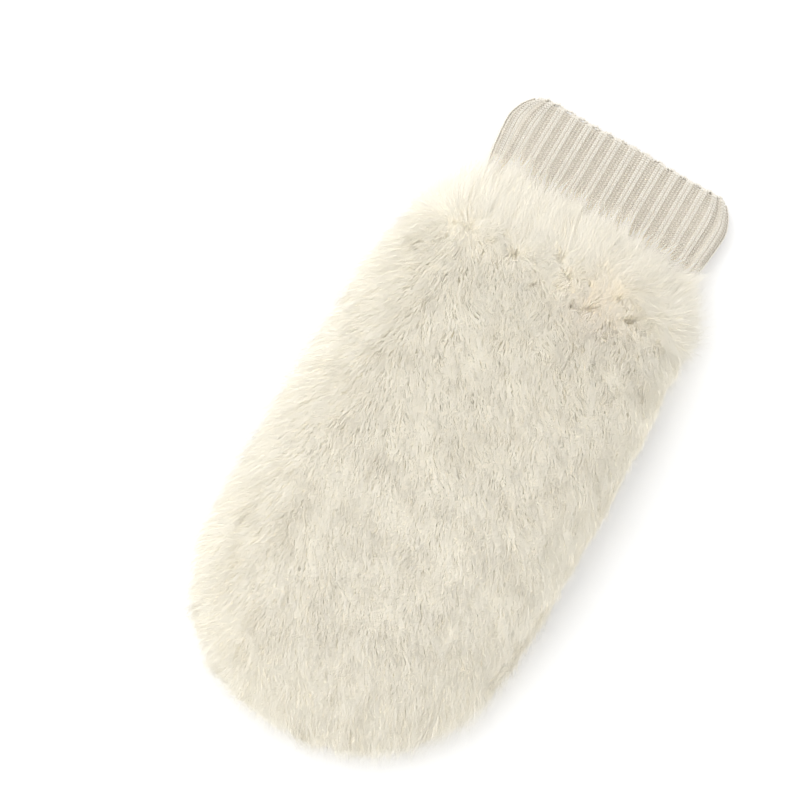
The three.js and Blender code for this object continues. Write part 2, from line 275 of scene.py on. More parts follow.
def places_along(form, start, straight, rounded, short=0.0):
    """Places along a form to its end, or a little short of it, that close up where its end is
    rounded off. "straight" and "rounded" are how many there are before and after that."""
    bend = form["round_from"]
    reach = length_of(form) - short - bend
    before = np.linspace(start, bend, straight)[:-1]
    return np.concatenate([before, bend + reach * np.sin(np.linspace(0, 0.5 * np.pi, rounded))])


def half_width(form, at):
    """Half the width of a form at places along it."""
    return column(form["table"], "half", at) * rounded_end(form, at, SIDE_ROUNDING)


def underside(form, at, x):
    """The height of a form's underside at places along and across it."""
    under, over = (column(form["table"], name, at) for name in ("under", "over"))
    rise = (over - under) / 2 * rounded_end(form, at, TOP_ROUNDING)
    across = np.clip(np.abs(x - column(form["table"], "centre", at)) / half_width(form, at), 0, 1)
    return (over + under) / 2 - rise * (1 - across ** SECTION_POWER) ** (1 / SECTION_POWER)


def edge_turns(inner, outer, at, side, swell=0.0):
    """Turns on the underside of an outer form that lie above one side of an inner form."""
    middle = column(outer["table"], "centre", at)
    edge = column(inner["table"], "centre", at) + side * half_width(inner, at)
    share = (edge - middle) / np.maximum(SMALLEST, half_width(outer, at) + swell)
    share = np.sign(share) * np.clip(np.abs(share), 0, 1) ** (SECTION_POWER / 2)
    return -np.arccos(share) / (2 * np.pi)


def smoothstep(low, high, value):
    """0 at the first value and 1 at the second, eased between them."""
    t = np.clip((value - low) / (high - low), 0, 1)
    return t * t * (3 - 2 * t)


def in_row(points):
    """Points in the row's frame, in metres."""
    return points * MM + np.array(MOUTH)


def mesh_of(name, points, faces):
    """A smooth-shaded mesh from points in millimetres."""
    mesh = bpy.data.meshes.new(name)
    mesh.from_pydata(in_row(points).tolist(), [], faces, shade_flat=False)
    mesh.update()
    return mesh


def placed(name, data):
    """An object in the scene."""
    item = bpy.data.objects.new(name, data)
    bpy.context.scene.collection.objects.link(item)
    return item


def piece_of(name, mesh, nodes, slot, *materials):
    """An object of the mitten, at the origin, that stands for CAD nodes. It stops at the floor."""
    points = np.empty(3 * len(mesh.vertices), np.float32)
    mesh.vertices.foreach_get("co", points)
    points[2::3] = np.maximum(points[2::3], LOWEST * MM)
    mesh.vertices.foreach_set("co", points)
    mesh.update()
    piece = placed(name, mesh)
    for material in materials:
        mesh.materials.append(material)
    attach(piece, "root")
    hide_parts(*nodes)


def lofted(name, rings, loop_uv, wrapped):
    """A mesh over closed rings. Its rows wrap round too, or else it ends in a pole at each end.
    loop_uv has a row for each ring and a column for each point and for the seam's other side."""
    rows, columns = rings.shape[:2]
    last = rows if wrapped else rows - 1
    r, c = np.meshgrid(np.arange(last), np.arange(columns), indexing="ij")
    above, beside = (r + 1) % rows, (c + 1) % columns
    quads = np.stack([r * columns + c, above * columns + c,
                      above * columns + beside, r * columns + beside], axis=-1).reshape(-1, 4)
    corners = np.stack([loop_uv[r, c], loop_uv[above, c],
                        loop_uv[above, c + 1], loop_uv[r, c + 1]], axis=2).reshape(-1, 2)
    points = rings.reshape(-1, 3)
    faces = quads.tolist()
    if not wrapped:
        poles = [rings[0].mean(axis=0), rings[-1].mean(axis=0)]
        points = np.concatenate([points, poles])
        column_numbers = np.arange(columns)
        following = (column_numbers + 1) % columns
        end = (rows - 1) * columns
        first = np.full(columns, rows * columns)
        faces += np.stack([first, column_numbers, following], axis=-1).tolist()
        faces += np.stack([first + 1, end + following, end + column_numbers], axis=-1).tolist()
        low, high = loop_uv[0], loop_uv[-1]
        corners = np.concatenate([
            corners,
            np.stack([low[:-1], low[:-1], low[1:]], axis=1).reshape(-1, 2),
            np.stack([high[:-1], high[1:], high[:-1]], axis=1).reshape(-1, 2),
        ])
    mesh = mesh_of(name, points, faces)
    layer = mesh.uv_layers.new(name="UVMap")
    layer.data.foreach_set("uv", corners.astype(np.float32).ravel())
    return mesh


def stitch_uv(rings, wale, course):
    """Wales counted both ways from the middle column, and courses along it."""
    closed = np.concatenate([rings, rings[:, :1]], axis=1)
    steps = np.linalg.norm(np.diff(closed, axis=1), axis=2)
    run = np.concatenate([np.zeros((len(rings), 1)), np.cumsum(steps, axis=1)], axis=1)
    half = rings.shape[1] // 2
    across = (run - run[:, half:half + 1]) / wale
    along = np.linalg.norm(np.diff(rings[:, half], axis=0), axis=1)
    along = np.concatenate([[0], np.cumsum(along)]) / course
    return np.stack([across, along[:, None] + 0 * across], axis=-1)


def linear(code):
    """An sRGB hex colour as linear RGBA."""
    parts = [int(code[i:i + 2], 16) / 255 for i in (1, 3, 5)]
    parts = [p / 12.92 if p <= 0.04045 else ((p + 0.055) / 1.055) ** 2.4 for p in parts]
    return (*parts, 1.0)


def add(tree, kind, inputs=None, **settings):
    """A node with its settings. Its inputs are values, sockets, or nodes that stand for their first
    output in use."""
    node = tree.nodes.new(kind)
    for name, value in settings.items():
        setattr(node, name, value)
    for key, value in (inputs or {}).items():
        if isinstance(value, bpy.types.Node):
            value = next(socket for socket in value.outputs if socket.enabled)
        if isinstance(value, bpy.types.NodeSocket):
            tree.links.new(value, node.inputs[key])
        else:
            node.inputs[key].default_value = value
    return node


def scalar_math(node, operation, *values, **settings):
    """A sum on numbers."""
    return node("ShaderNodeMath", dict(enumerate(values)), operation=operation, **settings)


def vector_math(node, operation, *values):
    """A sum on vectors. Scaling takes a vector and a number."""
    keys = (0, "Scale") if operation == "SCALE" else (0, 1, 2)
    return node("ShaderNodeVectorMath", dict(zip(keys, values)), operation=operation)


def noise(node, place, size, detail, roughness=0.5):
    """A cloudy texture, with clouds of about a size in millimetres."""
    return node("ShaderNodeTexNoise", {
        "Vector": place, "Scale": 1 / (size * MM), "Detail": detail, "Roughness": roughness,
    })


def random_number(node, low, high, seed):
    """A number of its own for each point."""
    return node("FunctionNodeRandomValue", {2: low, 3: high, "Seed": seed}, data_type="FLOAT")


# Materials


def new_material(name):
    """A bare material, and the function that adds nodes to it."""
    material = bpy.data.materials.new(name)
    material.use_nodes = True
    material.node_tree.nodes.clear()
    return material, partial(add, material.node_tree)


def two_tones(node, share, low, dark, high, light):
    """A colour ramp from a dark tone to a light one."""
    ramp = node("ShaderNodeValToRGB", {"Fac": share})
    for stop, place, colour in zip(ramp.color_ramp.elements, (low, high), (dark, light)):
        stop.position = place
        stop.color = colour
    return ramp


def yarn_surface(node, colour, height, relief_mm):
    """Cashmere yarn takes the light softly: it is matt, and the hairs that stand off it give it a
    whitish bloom."""
    bump = node("ShaderNodeBump", {"Height": height, "Distance": relief_mm * MM})
    shader = node("ShaderNodeBsdfPrincipled", {
        "Base Color": colour, "Normal": bump, "Roughness": 0.92, "Specular IOR Level": 0.2,
        "Sheen Weight": 0.25, "Sheen Roughness": 0.6,
    })
    node("ShaderNodeOutputMaterial", {"Surface": shader})


def stockinette_material(name, light, groove):
    """Cashmere yarn knitted in stockinette: each stitch is a V of two plump legs, with painted shade
    in the gaps round it. The UV map counts wales across and courses along."""
    material, node = new_material(name)
    place = node("ShaderNodeTexCoord").outputs["Object"]
    parts = node("ShaderNodeSeparateXYZ", {"Vector": node("ShaderNodeUVMap", uv_map="UVMap")}).outputs
    # Each wale is a mirrored pair of slanting legs.
    cell = scalar_math(node, "FRACT", parts["X"])
    off = scalar_math(node, "SUBTRACT", cell, 0.5)
    off = scalar_math(node, "ABSOLUTE", off)
    slant = scalar_math(node, "MULTIPLY_ADD", off, -1.3, parts["Y"])
    turn = scalar_math(node, "MULTIPLY", slant, 2 * math.pi)
    wave = scalar_math(node, "SINE", turn)
    beads = scalar_math(node, "MULTIPLY_ADD", wave, 0.3, 0.7)
    across = scalar_math(node, "MULTIPLY", off, 2 * math.pi)
    leg = scalar_math(node, "SINE", across, use_clamp=True)
    plump = scalar_math(node, "POWER", leg, 0.5)
    height = scalar_math(node, "MULTIPLY", plump, beads)
    fibres = noise(node, place, 0.45, 3.0, 0.6)
    # The stitch relief bumps the yarn and also paints its low gaps towards the darker groove colour:
    # painted shade.
    relief_and_painted_shade = scalar_math(node, "MULTIPLY_ADD", fibres, 0.5, height)
    patches = noise(node, place, 9, 2.0)
    tone = scalar_math(node, "MULTIPLY", patches, 0.3)
    tone = scalar_math(node, "MULTIPLY_ADD", relief_and_painted_shade, 0.62, tone)
    # Painted shade runs from the groove colour in the gaps to the light yarn on the legs, with cloudy
    # patches of tone at random.
    ramp = two_tones(node, tone, 0.32, groove, 0.85, light)
    yarn_surface(node, ramp, relief_and_painted_shade, 0.5)
    return material


def yarn_material(name, light, dark):
    """Plied cashmere yarn, as in a stitch that is modelled: finely fibrous."""
    material, node = new_material(name)
    fibres = noise(node, node("ShaderNodeTexCoord").outputs["Object"], 0.5, 3.0)
    # The fibre noise bumps the yarn and also paints its low parts in the dark tone: a fine painted
    # shade in its grooves.
    yarn_surface(node, two_tones(node, fibres, 0.3, dark, 0.65, light), fibres, 0.12)
    return material


def fur_material(name, tip, root, painted_light_colour, pinker):
    """Dressed rabbit fur: fine soft hair that lets light through, a little darker at its roots,
    each hair a shade of its own. The longer hair at the cuff and the hair on the +X edge are painted
    lighter, as painted light from the key lamp, and where the coat parts it is a little pinker."""
    material, node = new_material(name)
    along, shade, painted_light_share, blush = (node("ShaderNodeAttribute", attribute_name=key).outputs["Fac"]
                                 for key in ("along", "shade", "painted_light_share", "blush"))
    depth = scalar_math(node, "MULTIPLY_ADD", along, 0.6, shade)
    hue = two_tones(node, depth, 0.1, root, 0.95, tip)
    # Painted light: hair near the cuff and on the +X edge is mixed towards the lighter colour.
    hue = node("ShaderNodeMix", {0: painted_light_share, 6: hue, 7: painted_light_colour}, data_type="RGBA")
    hue = node("ShaderNodeMix", {0: blush, 6: hue, 7: pinker}, data_type="RGBA")
    # A hair catches the light of its whole tuft, whichever way its ribbon is turned, so both of its
    # sides are lit from the coat's own normal.
    coat = node("ShaderNodeAttribute", attribute_name="coat").outputs["Vector"]
    within = vector_math(node, "SCALE", coat, -1.0)
    near = node("ShaderNodeBsdfPrincipled", {
        "Base Color": hue, "Roughness": 0.8, "Specular IOR Level": 0.1, "Normal": coat,
    })
    far = node("ShaderNodeBsdfTranslucent", {"Color": hue, "Normal": within})
    node("ShaderNodeOutputMaterial", {"Surface": node("ShaderNodeAddShader", {0: near, 1: far})})
    return material


def underfur_material(name, light, dark):
    """The dense, downy underfur below the longer hairs: soft, matt and finely uneven."""
    material, node = new_material(name)
    down = noise(node, node("ShaderNodeTexCoord").outputs["Object"], 0.9, 4.0, 0.65)
    bump = node("ShaderNodeBump", {"Height": down, "Strength": 0.7, "Distance": 0.6 * MM})
    shader = node("ShaderNodeBsdfPrincipled", {
        "Base Color": two_tones(node, down, 0.3, dark, 0.65, light), "Normal": bump,
        "Roughness": 0.95, "Specular IOR Level": 0.1,
    })
    node("ShaderNodeOutputMaterial", {"Surface": shader})
    return material


def paper_material(name, colour):
    """Matt white paper, as a studio's backdrop is: it shows soft shadows and no gloss."""
    material, node = new_material(name)
    shader = node("ShaderNodeBsdfPrincipled", {
        "Base Color": colour, "Roughness": 0.95, "Specular IOR Level": 0.2,
    })
    node("ShaderNodeOutputMaterial", {"Surface": shader})
    return material


# Fur


def comb_angle(side):
    """How far the fur is combed from +Y towards -X, in degrees, from the +X edge (side 1) to the
    -X edge (side -1)."""
    return 30 - 5 * smoothstep(0.5, 1.0, -side) - 67 * smoothstep(0.2, 1.0, side)


def skin_grid():
    """Where the skin's points are: the place of each row and the turns along it, over the back and
    round both edges to the hem."""
    places = places_along(BODY, FUR_START, *SKIN_ROWS)
    first = edge_turns(WINDOW, BODY, places, 1, FUR_GAP + SKIN)[:, None]
    last = 1 + edge_turns(WINDOW, BODY, places, -1, FUR_GAP + SKIN)[:, None]
    share = np.linspace(0, 1, SKIN_COLUMNS)[None, :]
    return places, first + (last - first) * share, np.minimum(share, 1 - share)


def skin_points(places, turns, off):
    """Points at a distance off the body."""
    points = np.concatenate([
        form_points(BODY, [place], row, off, 1.2) for place, row in zip(places, turns)])
    points[..., 1] += (off * smoothstep(BODY["round_from"], length_of(BODY), places))[:, None]
    return points


def underfur_points(places, turns, from_hem):
    """The top of the soft, dense underfur: the solids' pile, thinner towards the hem and the cuff."""
    skin = skin_points(places, turns, FUR_GAP + SKIN)
    pile = np.concatenate([
        form_points(PILE, [place], row, 0, 1.2) for place, row in zip(places, turns)])
    pile[..., 1] += (PILE_END * smoothstep(BODY["round_from"], length_of(BODY), places))[:, None]
    full = smoothstep(-2, 14, places - FUR_START)[:, None] * smoothstep(0, 0.09, from_hem)
    deep = (0.12 + 0.88 * full)[..., None]
    points = skin * (1 - deep) + pile * deep
    x, y = points[..., 0], points[..., 1]
    lumps = np.sin(x / 2.3 + 2 * np.sin(y / 5.1)) * np.sin(y / 2.9 + 2 * np.sin(x / 4.3))
    points[..., 2] += 0.5 * lumps * full
    return points


def fur_lay(points, turns, places, settings):
    """The way that the fur lies, how long it is and how steeply it stands at each point."""
    side = np.cos(2 * np.pi * turns)
    down = np.maximum(0, -np.sin(2 * np.pi * turns))
    at = places[:, None] + 0 * side
    x = points[..., 0]
    # On the back the fur is combed to the fingertips, and back over the cuff above its crown.
    angle = np.radians(comb_angle(side))
    on = np.stack([-np.sin(angle), np.cos(angle), 0 * side], axis=-1)
    back = np.stack([0.35 * side, -1 + 0 * side, 0 * side], axis=-1)
    crown = settings.crown / MM + 3 * np.sin(x / 17)
    turned = smoothstep(-TURN_OVER, TURN_OVER, at - crown)[..., None]
    lay = on * turned + back * (1 - turned)
    # Round the crown's middle it spreads out in a stirred whorl.
    spread = np.stack([x - CROWN_X, at - crown - 5, 0 * at], axis=-1)
    apart = np.linalg.norm(spread, axis=-1, keepdims=True)
    whorl = np.exp(-(apart / WHORL) ** 2)
    stirred = np.stack([np.sin(at / 2.1 + x / 4.7), np.sin(x / 2.6 - at / 5.3), 0 * at], axis=-1)
    lay = lay * (1 - 0.7 * whorl) + (0.6 * spread / np.maximum(9, apart) + 0.7 * stirred) * whorl
    # Under the edges it points away from the palm, and on the -X side more along it.
    round_tip = smoothstep(180, 215, at)
    away_x = np.sign(side) * 40 * (1 - round_tip) + (x - 3) * round_tip
    away_y = np.where(side > 0, 8.0, 60.0) * (1 - round_tip) + (points[..., 1] - TIP_FROM) * round_tip
    away = np.stack([away_x, away_y, 0 * at], axis=-1)
    away /= np.linalg.norm(away, axis=-1, keepdims=True)
    under = smoothstep(0.1, 0.6, down)[..., None]
    lay = lay * (1 - under) + away * under
    edge = smoothstep(0.72, 1.0, np.abs(side)) * (1 - under[..., 0])
    by_cuff = smoothstep(72, 52, at)
    # The coat is close along the straight part of the -X edge.
    close = edge * smoothstep(0, -0.5, side) * smoothstep(56, 80, at) * smoothstep(222, 190, at)
    longer = 0.3 * edge * np.where(side > 0, 1, 1.2) * (1 - close) - 0.3 * close
    longer = longer + 1.05 * by_cuff * (1 - 0.5 * edge) * (1 - under[..., 0])
    longer = longer - np.where(side > 0, 0.1, 0.22) * under[..., 0]
    nap = settings.length / MM * (1 + longer)
    parting = np.exp(-((at - crown - 4) / 8) ** 2) * (1 - edge)
    steep = 1.15 - 0.35 * edge - 0.7 * by_cuff + 0.7 * parting + 0.6 * whorl[..., 0] - 0.4 * close
    steep = steep * (1 - under[..., 0]) + 0.3 * under[..., 0]
    # Painted light: the hair near the cuff and along the +X edge, which faces the key light, is
    # painted lighter.
    painted_light_share = np.maximum(smoothstep(90, 60, at), 0.8 * smoothstep(0.7, 1.0, side))
    blush = np.exp(-(np.hypot(x - CROWN_X, at - crown - 9) / BLUSH) ** 2)
    return lay, nap, steep, painted_light_share * (1 - blush), blush


def fur_skin(settings):
    """The underfur's top, from which the longer hairs come, with how they lie at each point."""
    places, turns, from_hem = skin_grid()
    points = underfur_points(places, turns, from_hem)
    lay, nap, steep, painted_light_share, blush = fur_lay(points, turns, places, settings)
    rows, columns = points.shape[:2]
    index = np.arange(rows * columns).reshape(rows, columns)
    faces = np.stack([index[:-1, :-1], index[1:, :-1], index[1:, 1:], index[:-1, 1:]], axis=-1)
    mesh = mesh_of("fur_roots", points.reshape(-1, 3), faces.reshape(-1, 4).tolist())
    for name, kind, key, values in (
        ("lay", "FLOAT_VECTOR", "vector", lay.reshape(-1, 3)),
        ("nap", "FLOAT", "value", nap.ravel() * MM),
        ("steep", "FLOAT", "value", steep.ravel()),
        ("painted_light_share", "FLOAT", "value", painted_light_share.ravel()),
        ("blush", "FLOAT", "value", blush.ravel()),
    ):
        layer = mesh.attributes.new(name, kind, "POINT")
        layer.data.foreach_set(key, values.astype(np.float32).ravel())
    return placed("fur_roots", mesh)


def strand_template():
    """One hair: a narrow leaf of two triangles, widest about half way. Its attributes say how far
    along it each point is, and on which side."""
    along = (0.0, 0.48, 0.48, 1.0)
    side = (0.0, -1.0, 1.0, 0.0)
    mesh = bpy.data.meshes.new("strand")
    points = [(s * 0.1, 0.0, a) for a, s in zip(along, side)]
    mesh.from_pydata(points, [], [(0, 2, 1), (1, 2, 3)], shade_flat=False)
    for name, values in (("along", along), ("side", side)):
        mesh.attributes.new(name, "FLOAT", "POINT").data.foreach_set("value", values)
    return placed("strand", mesh)


FUR_INPUTS = (
    ("Density", "NodeSocketFloat"), ("Tuft spacing", "NodeSocketFloat"),
    ("Clumping", "NodeSocketFloat"), ("Width", "NodeSocketFloat"), ("Ruffle", "NodeSocketFloat"),
    ("From", "NodeSocketFloat"), ("To", "NodeSocketFloat"), ("Seed", "NodeSocketInt"),
    ("Strand", "NodeSocketObject"), ("Material", "NodeSocketMaterial"),
)


def new_tree(name, inputs):
    """A Geometry Nodes tree with named inputs, the function that adds nodes to it, and its inputs."""
    tree = bpy.data.node_groups.new(name, "GeometryNodeTree")
    for label, kind in (("Geometry", "NodeSocketGeometry"), *inputs):
        tree.interface.new_socket(label, in_out="INPUT", socket_type=kind)
    tree.interface.new_socket("Geometry", in_out="OUTPUT", socket_type="NodeSocketGeometry")
    node = partial(add, tree)
    return tree, node, node("NodeGroupInput").outputs


def fur_tree():
    """Hairs over a skin, combed along its lay and gathered into tufts. A real hair is too fine to
    show at this size, so each strand is as wide as several."""
    tree, node, given = new_tree("fur strands", FUR_INPUTS)
    place = node("GeometryNodeInputPosition")
    lay, root, bend, tip, across = (
        node("GeometryNodeInputNamedAttribute", {"Name": name}, data_type="FLOAT_VECTOR")
        for name in ("lay", "root", "bend", "tip", "across"))
    nap, steep, along, side, shade = (
        node("GeometryNodeInputNamedAttribute", {"Name": name}, data_type="FLOAT")
        for name in ("nap", "steep", "along", "side", "shade"))

    def combed(normal, stand):
        """From a hair's root to its tip: along the lay, ruffled, and out by its stand."""
        way = lay
        for size, share in RUFFLES:
            cloud = noise(node, place, size, 1.5).outputs["Color"]
            stray = vector_math(node, "SUBTRACT", cloud, (0.5, 0.5, 0.5))
            strength = scalar_math(node, "MULTIPLY", given["Ruffle"], share)
            way = vector_math(node, "MULTIPLY_ADD", stray, strength, way)
        off = vector_math(node, "PROJECT", way, normal)
        flat = vector_math(node, "SUBTRACT", way, off)
        flat = vector_math(node, "NORMALIZE", flat)
        way = vector_math(node, "MULTIPLY_ADD", normal, stand, flat)
        way = vector_math(node, "NORMALIZE", way)
        return vector_math(node, "SCALE", way, nap)

    # Patches of the coat stand up more than others, and are a little darker or lighter.
    patches = noise(node, place, PATCH, 2.0)
    patches = scalar_math(node, "SUBTRACT", patches, 0.5)
    steep = scalar_math(node, "MULTIPLY_ADD", patches, 1.0, steep)
    # Tufts: where the hairs round each of them lean together.
    tufts = node("GeometryNodeDistributePointsOnFaces", {
        "Mesh": given["Geometry"], "Distance Min": given["Tuft spacing"],
        "Density Max": 1e6, "Seed": given["Seed"],
    }, distribute_method="POISSON").outputs
    more = random_number(node, -0.16, 0.2, 11)
    stand = scalar_math(node, "ADD", steep, more)
    reach = combed(tufts["Normal"], stand)
    tuft_points = node("GeometryNodeStoreNamedAttribute", {
        "Geometry": tufts["Points"], "Name": "tip",
        "Value": vector_math(node, "ADD", place, reach),
    }, data_type="FLOAT_VECTOR", domain="POINT")
    nearest = node("GeometryNodeSampleNearest", {"Geometry": tuft_points, "Sample Position": place})
    tuft = node("GeometryNodeSampleIndex", {
        "Geometry": tuft_points, "Value": tip, "Index": nearest,
    }, data_type="FLOAT_VECTOR")

    # Hairs: each is combed and stirred on its own, then leans towards its tuft.
    hairs = node("GeometryNodeDistributePointsOnFaces", {
        "Mesh": given["Geometry"], "Density": given["Density"], "Seed": given["Seed"],
    }, distribute_method="RANDOM").outputs
    normal = hairs["Normal"]
    more = random_number(node, -0.22, 0.22, 12)
    stand = scalar_math(node, "ADD", steep, more)
    stir, facing, turned = (
        node("FunctionNodeRandomValue", {0: (-1, -1, -1), 1: (1, 1, 1), "Seed": seed},
             data_type="FLOAT_VECTOR") for seed in (17, 15, 18))
    strength = scalar_math(node, "MULTIPLY", nap, 0.22)
    reach = vector_math(node, "MULTIPLY_ADD", stir, strength, combed(normal, stand))
    # Most hairs are about as long as the nap, and a few stray out beyond the others.
    draw = random_number(node, 0.0, 1.0, 13)
    stray = scalar_math(node, "POWER", draw, 7.0)
    grade = scalar_math(node, "MULTIPLY_ADD", draw, 0.32, 0.66)
    grade = scalar_math(node, "MULTIPLY_ADD", stray, 0.5, grade)
    reach = vector_math(node, "SCALE", reach, grade)
    own = vector_math(node, "ADD", place, reach)
    lean = random_number(node, 0.35, 1.0, 14)
    lean = scalar_math(node, "MULTIPLY", given["Clumping"], lean)
    rise = scalar_math(node, "ADD", stand, 0.12)
    rise = scalar_math(node, "MULTIPLY", rise, nap)
    rise = scalar_math(node, "MULTIPLY", rise, 0.6)
    middle = vector_math(node, "MULTIPLY_ADD", normal, rise, place)
    middle = vector_math(node, "MULTIPLY_ADD", reach, (0.22, 0.22, 0.22), middle)
    facing = vector_math(node, "MULTIPLY_ADD", facing, (0.45, 0.45, 0.45), normal)
    beside = vector_math(node, "CROSS_PRODUCT", reach, facing)
    # The coat's normal sways a little from tuft to tuft and from hair to hair.
    cloud = noise(node, place, SWAY, 1.5).outputs["Color"]
    sway = vector_math(node, "SUBTRACT", cloud, (0.5, 0.5, 0.5))
    coat = vector_math(node, "MULTIPLY_ADD", sway, (0.7, 0.7, 0.7), normal)
    coat = vector_math(node, "MULTIPLY_ADD", turned, (0.35, 0.35, 0.35), coat)
    points = hairs["Points"]
    for name, value in (
        ("root", place), ("bend", middle),
        ("tip", node("ShaderNodeMix", {0: lean, 4: own, 5: tuft}, data_type="VECTOR")),
        ("across", vector_math(node, "NORMALIZE", beside)),
        ("coat", vector_math(node, "NORMALIZE", coat)),
    ):
        points = node("GeometryNodeStoreNamedAttribute", {
            "Geometry": points, "Name": name, "Value": value,
        }, data_type="FLOAT_VECTOR", domain="POINT")
    own_shade = random_number(node, 0.15, 0.6, 16)
    points = node("GeometryNodeStoreNamedAttribute", {
        "Geometry": points, "Name": "shade",
        "Value": scalar_math(node, "MULTIPLY_ADD", patches, -0.8, own_shade),
    }, data_type="FLOAT", domain="POINT")
    run = node("ShaderNodeSeparateXYZ", {"Vector": place}).outputs["Y"]
    before = node("FunctionNodeCompare", {0: run, 1: given["From"]}, data_type="FLOAT",
                  operation="LESS_THAN")
    after = node("FunctionNodeCompare", {0: run, 1: given["To"]}, data_type="FLOAT",
                 operation="GREATER_EQUAL")
    outside = node("FunctionNodeBooleanMath", {0: before, 1: after}, operation="OR")
    points = node("GeometryNodeDeleteGeometry", {"Geometry": points, "Selection": outside},
                  domain="POINT")
    template = node("GeometryNodeObjectInfo", {"Object": given["Strand"]}).outputs["Geometry"]
    made = node("GeometryNodeInstanceOnPoints", {"Points": points, "Instance": template})
    made = node("GeometryNodeRealizeInstances", {"Geometry": made})

    # Each hair is a curve that starts at its root towards its bend and ends at its tip.
    first = node("ShaderNodeMix", {0: along, 4: root, 5: bend}, data_type="VECTOR")
    second = node("ShaderNodeMix", {0: along, 4: bend, 5: tip}, data_type="VECTOR")
    curve = node("ShaderNodeMix", {0: along, 4: first, 5: second}, data_type="VECTOR")
    wide = scalar_math(node, "MULTIPLY_ADD", shade, 0.5, 0.32)
    wide = scalar_math(node, "MULTIPLY", wide, given["Width"])
    wide = scalar_math(node, "MULTIPLY", wide, side)
    curve = vector_math(node, "MULTIPLY_ADD", across, wide, curve)
    parts = node("ShaderNodeSeparateXYZ", {"Vector": curve}).outputs
    above = scalar_math(node, "MAXIMUM", parts["Z"], HAIR_LOWEST * MM)
    curve = node("ShaderNodeCombineXYZ", {"X": parts["X"], "Y": parts["Y"], "Z": above})
    made = node("GeometryNodeSetPosition", {"Geometry": made, "Position": curve})
    for name in ("root", "bend", "tip", "across", "side", "lay", "nap", "steep"):
        made = node("GeometryNodeRemoveAttribute", {"Geometry": made, "Name": name})
    made = node("GeometryNodeSetMaterial", {"Geometry": made, "Material": given["Material"]})
    node("NodeGroupOutput", {"Geometry": made})
    return tree


def grown_mesh(carrier, tree, values):
    """The mesh that a Geometry Nodes tree makes on an object, with its modifier removed."""
    modifier = carrier.modifiers.new(tree.name, "NODES")
    modifier.node_group = tree
    for item in tree.interface.items_tree:
        if item.in_out == "INPUT" and item.name in values:
            modifier[item.identifier] = values[item.name]
    carrier.update_tag()
    bpy.context.view_layer.update()
    evaluated = carrier.evaluated_get(bpy.context.evaluated_depsgraph_get())
    mesh = bpy.data.meshes.new_from_object(evaluated)
    carrier.modifiers.remove(modifier)
    return mesh


def discard(*objects):
    """Remove helper objects with their meshes."""
    for item in objects:
        mesh = item.data
        bpy.data.objects.remove(item)
        bpy.data.meshes.remove(mesh)


# Knitting


def spindle(path, wide, deep, sides):
    """Points and faces of a plump length of yarn that is pointed at both ends."""
    path = np.asarray(path, float)
    points, faces = [path[0], path[-1]], []
    rings = len(path) - 2
    turns = 2 * np.pi * np.arange(sides) / sides
    for k in range(1, rings + 1):
        way = path[k + 1] - path[k - 1]
        way /= np.linalg.norm(way)
        aside = np.cross(way, (0, 0, 1))
        aside /= np.linalg.norm(aside)
        out = np.cross(aside, way)
        for c, s in zip(np.cos(turns), np.sin(turns)):
            points.append(path[k] + aside * c * wide + out * s * deep)
    for i in range(sides):
        j = (i + 1) % sides
        faces.append((0, 2 + i, 2 + j))
        for k in range(rings - 1):
            a = 2 + k * sides
            faces.append((a + i, a + sides + i, a + sides + j, a + j))
        a = 2 + (rings - 1) * sides
        faces.append((1, a + j, a + i))
    return points, faces


def yarn_template(name, *lengths):
    """One stitch, made of lengths of yarn, as an object to be repeated."""
    points, faces = [], []
    for more_points, more_faces in lengths:
        faces += [tuple(i + len(points) for i in face) for face in more_faces]
        points += [tuple(point) for point in more_points]
    mesh = bpy.data.meshes.new(name)
    mesh.from_pydata(points, [], faces, shade_flat=False)
    return placed(name, mesh)


def knit_stitch():
    """A knit stitch, 1 wide and 1 high: two legs that meet in a V and pass under the next."""
    legs = []
    for side in (-1, 1):
        path = [(0.04 * side, -0.38, -0.7), (0.13 * side, 0.0, 0.02), (0.22 * side, 0.5, 0.15),
                (0.32 * side, 0.98, -0.7)]
        legs.append(spindle(path, 0.18, 0.42, 4))
    return yarn_template("knit stitch", *legs)


def purl_stitch():
    """A purl stitch, 1 wide and 1 high: the bump that its loop makes across the wale."""
    bump = spindle([(-0.62, -0.1, -0.5), (0, 0.1, 0.1), (0.62, -0.1, -0.5)], 0.4, 0.4, 4)
    return yarn_template("purl stitch", bump)


STITCH_TREE = "stitches"
STITCH_INPUTS = (
    ("Stitch", "NodeSocketObject"), ("Sway", "NodeSocketFloat"), ("Seed", "NodeSocketInt"),
    ("Material", "NodeSocketMaterial"),
)


def stitch_tree():
    """A stitch repeated at points that have an out, an up and a size."""
    tree, node, given = new_tree(STITCH_TREE, STITCH_INPUTS)
    out, up, size = (
        node("GeometryNodeInputNamedAttribute", {"Name": name}, data_type="FLOAT_VECTOR")
        for name in ("out", "up", "size"))
    stir = node("FunctionNodeRandomValue", {
        0: (-1, -1, -1), 1: (1, 1, 1), "Seed": given["Seed"],
    }, data_type="FLOAT_VECTOR")
    swayed = vector_math(node, "MULTIPLY_ADD", stir, given["Sway"], up)
    turned = node("FunctionNodeAxesToRotation", {"Primary Axis": out, "Secondary Axis": swayed},
                  primary_axis="Z", secondary_axis="Y")
    grade = random_number(node, 0.92, 1.08, 3)
    template = node("GeometryNodeObjectInfo", {"Object": given["Stitch"]}).outputs["Geometry"]
    made = node("GeometryNodeInstanceOnPoints", {
        "Points": given["Geometry"], "Instance": template, "Rotation": turned,
        "Scale": vector_math(node, "SCALE", size, grade),
    })
    made = node("GeometryNodeRealizeInstances", {"Geometry": made})
    for name in ("out", "up", "size"):
        made = node("GeometryNodeRemoveAttribute", {"Geometry": made, "Name": name})
    made = node("GeometryNodeSetMaterial", {"Geometry": made, "Material": given["Material"]})
    node("NodeGroupOutput", {"Geometry": made})
    return tree


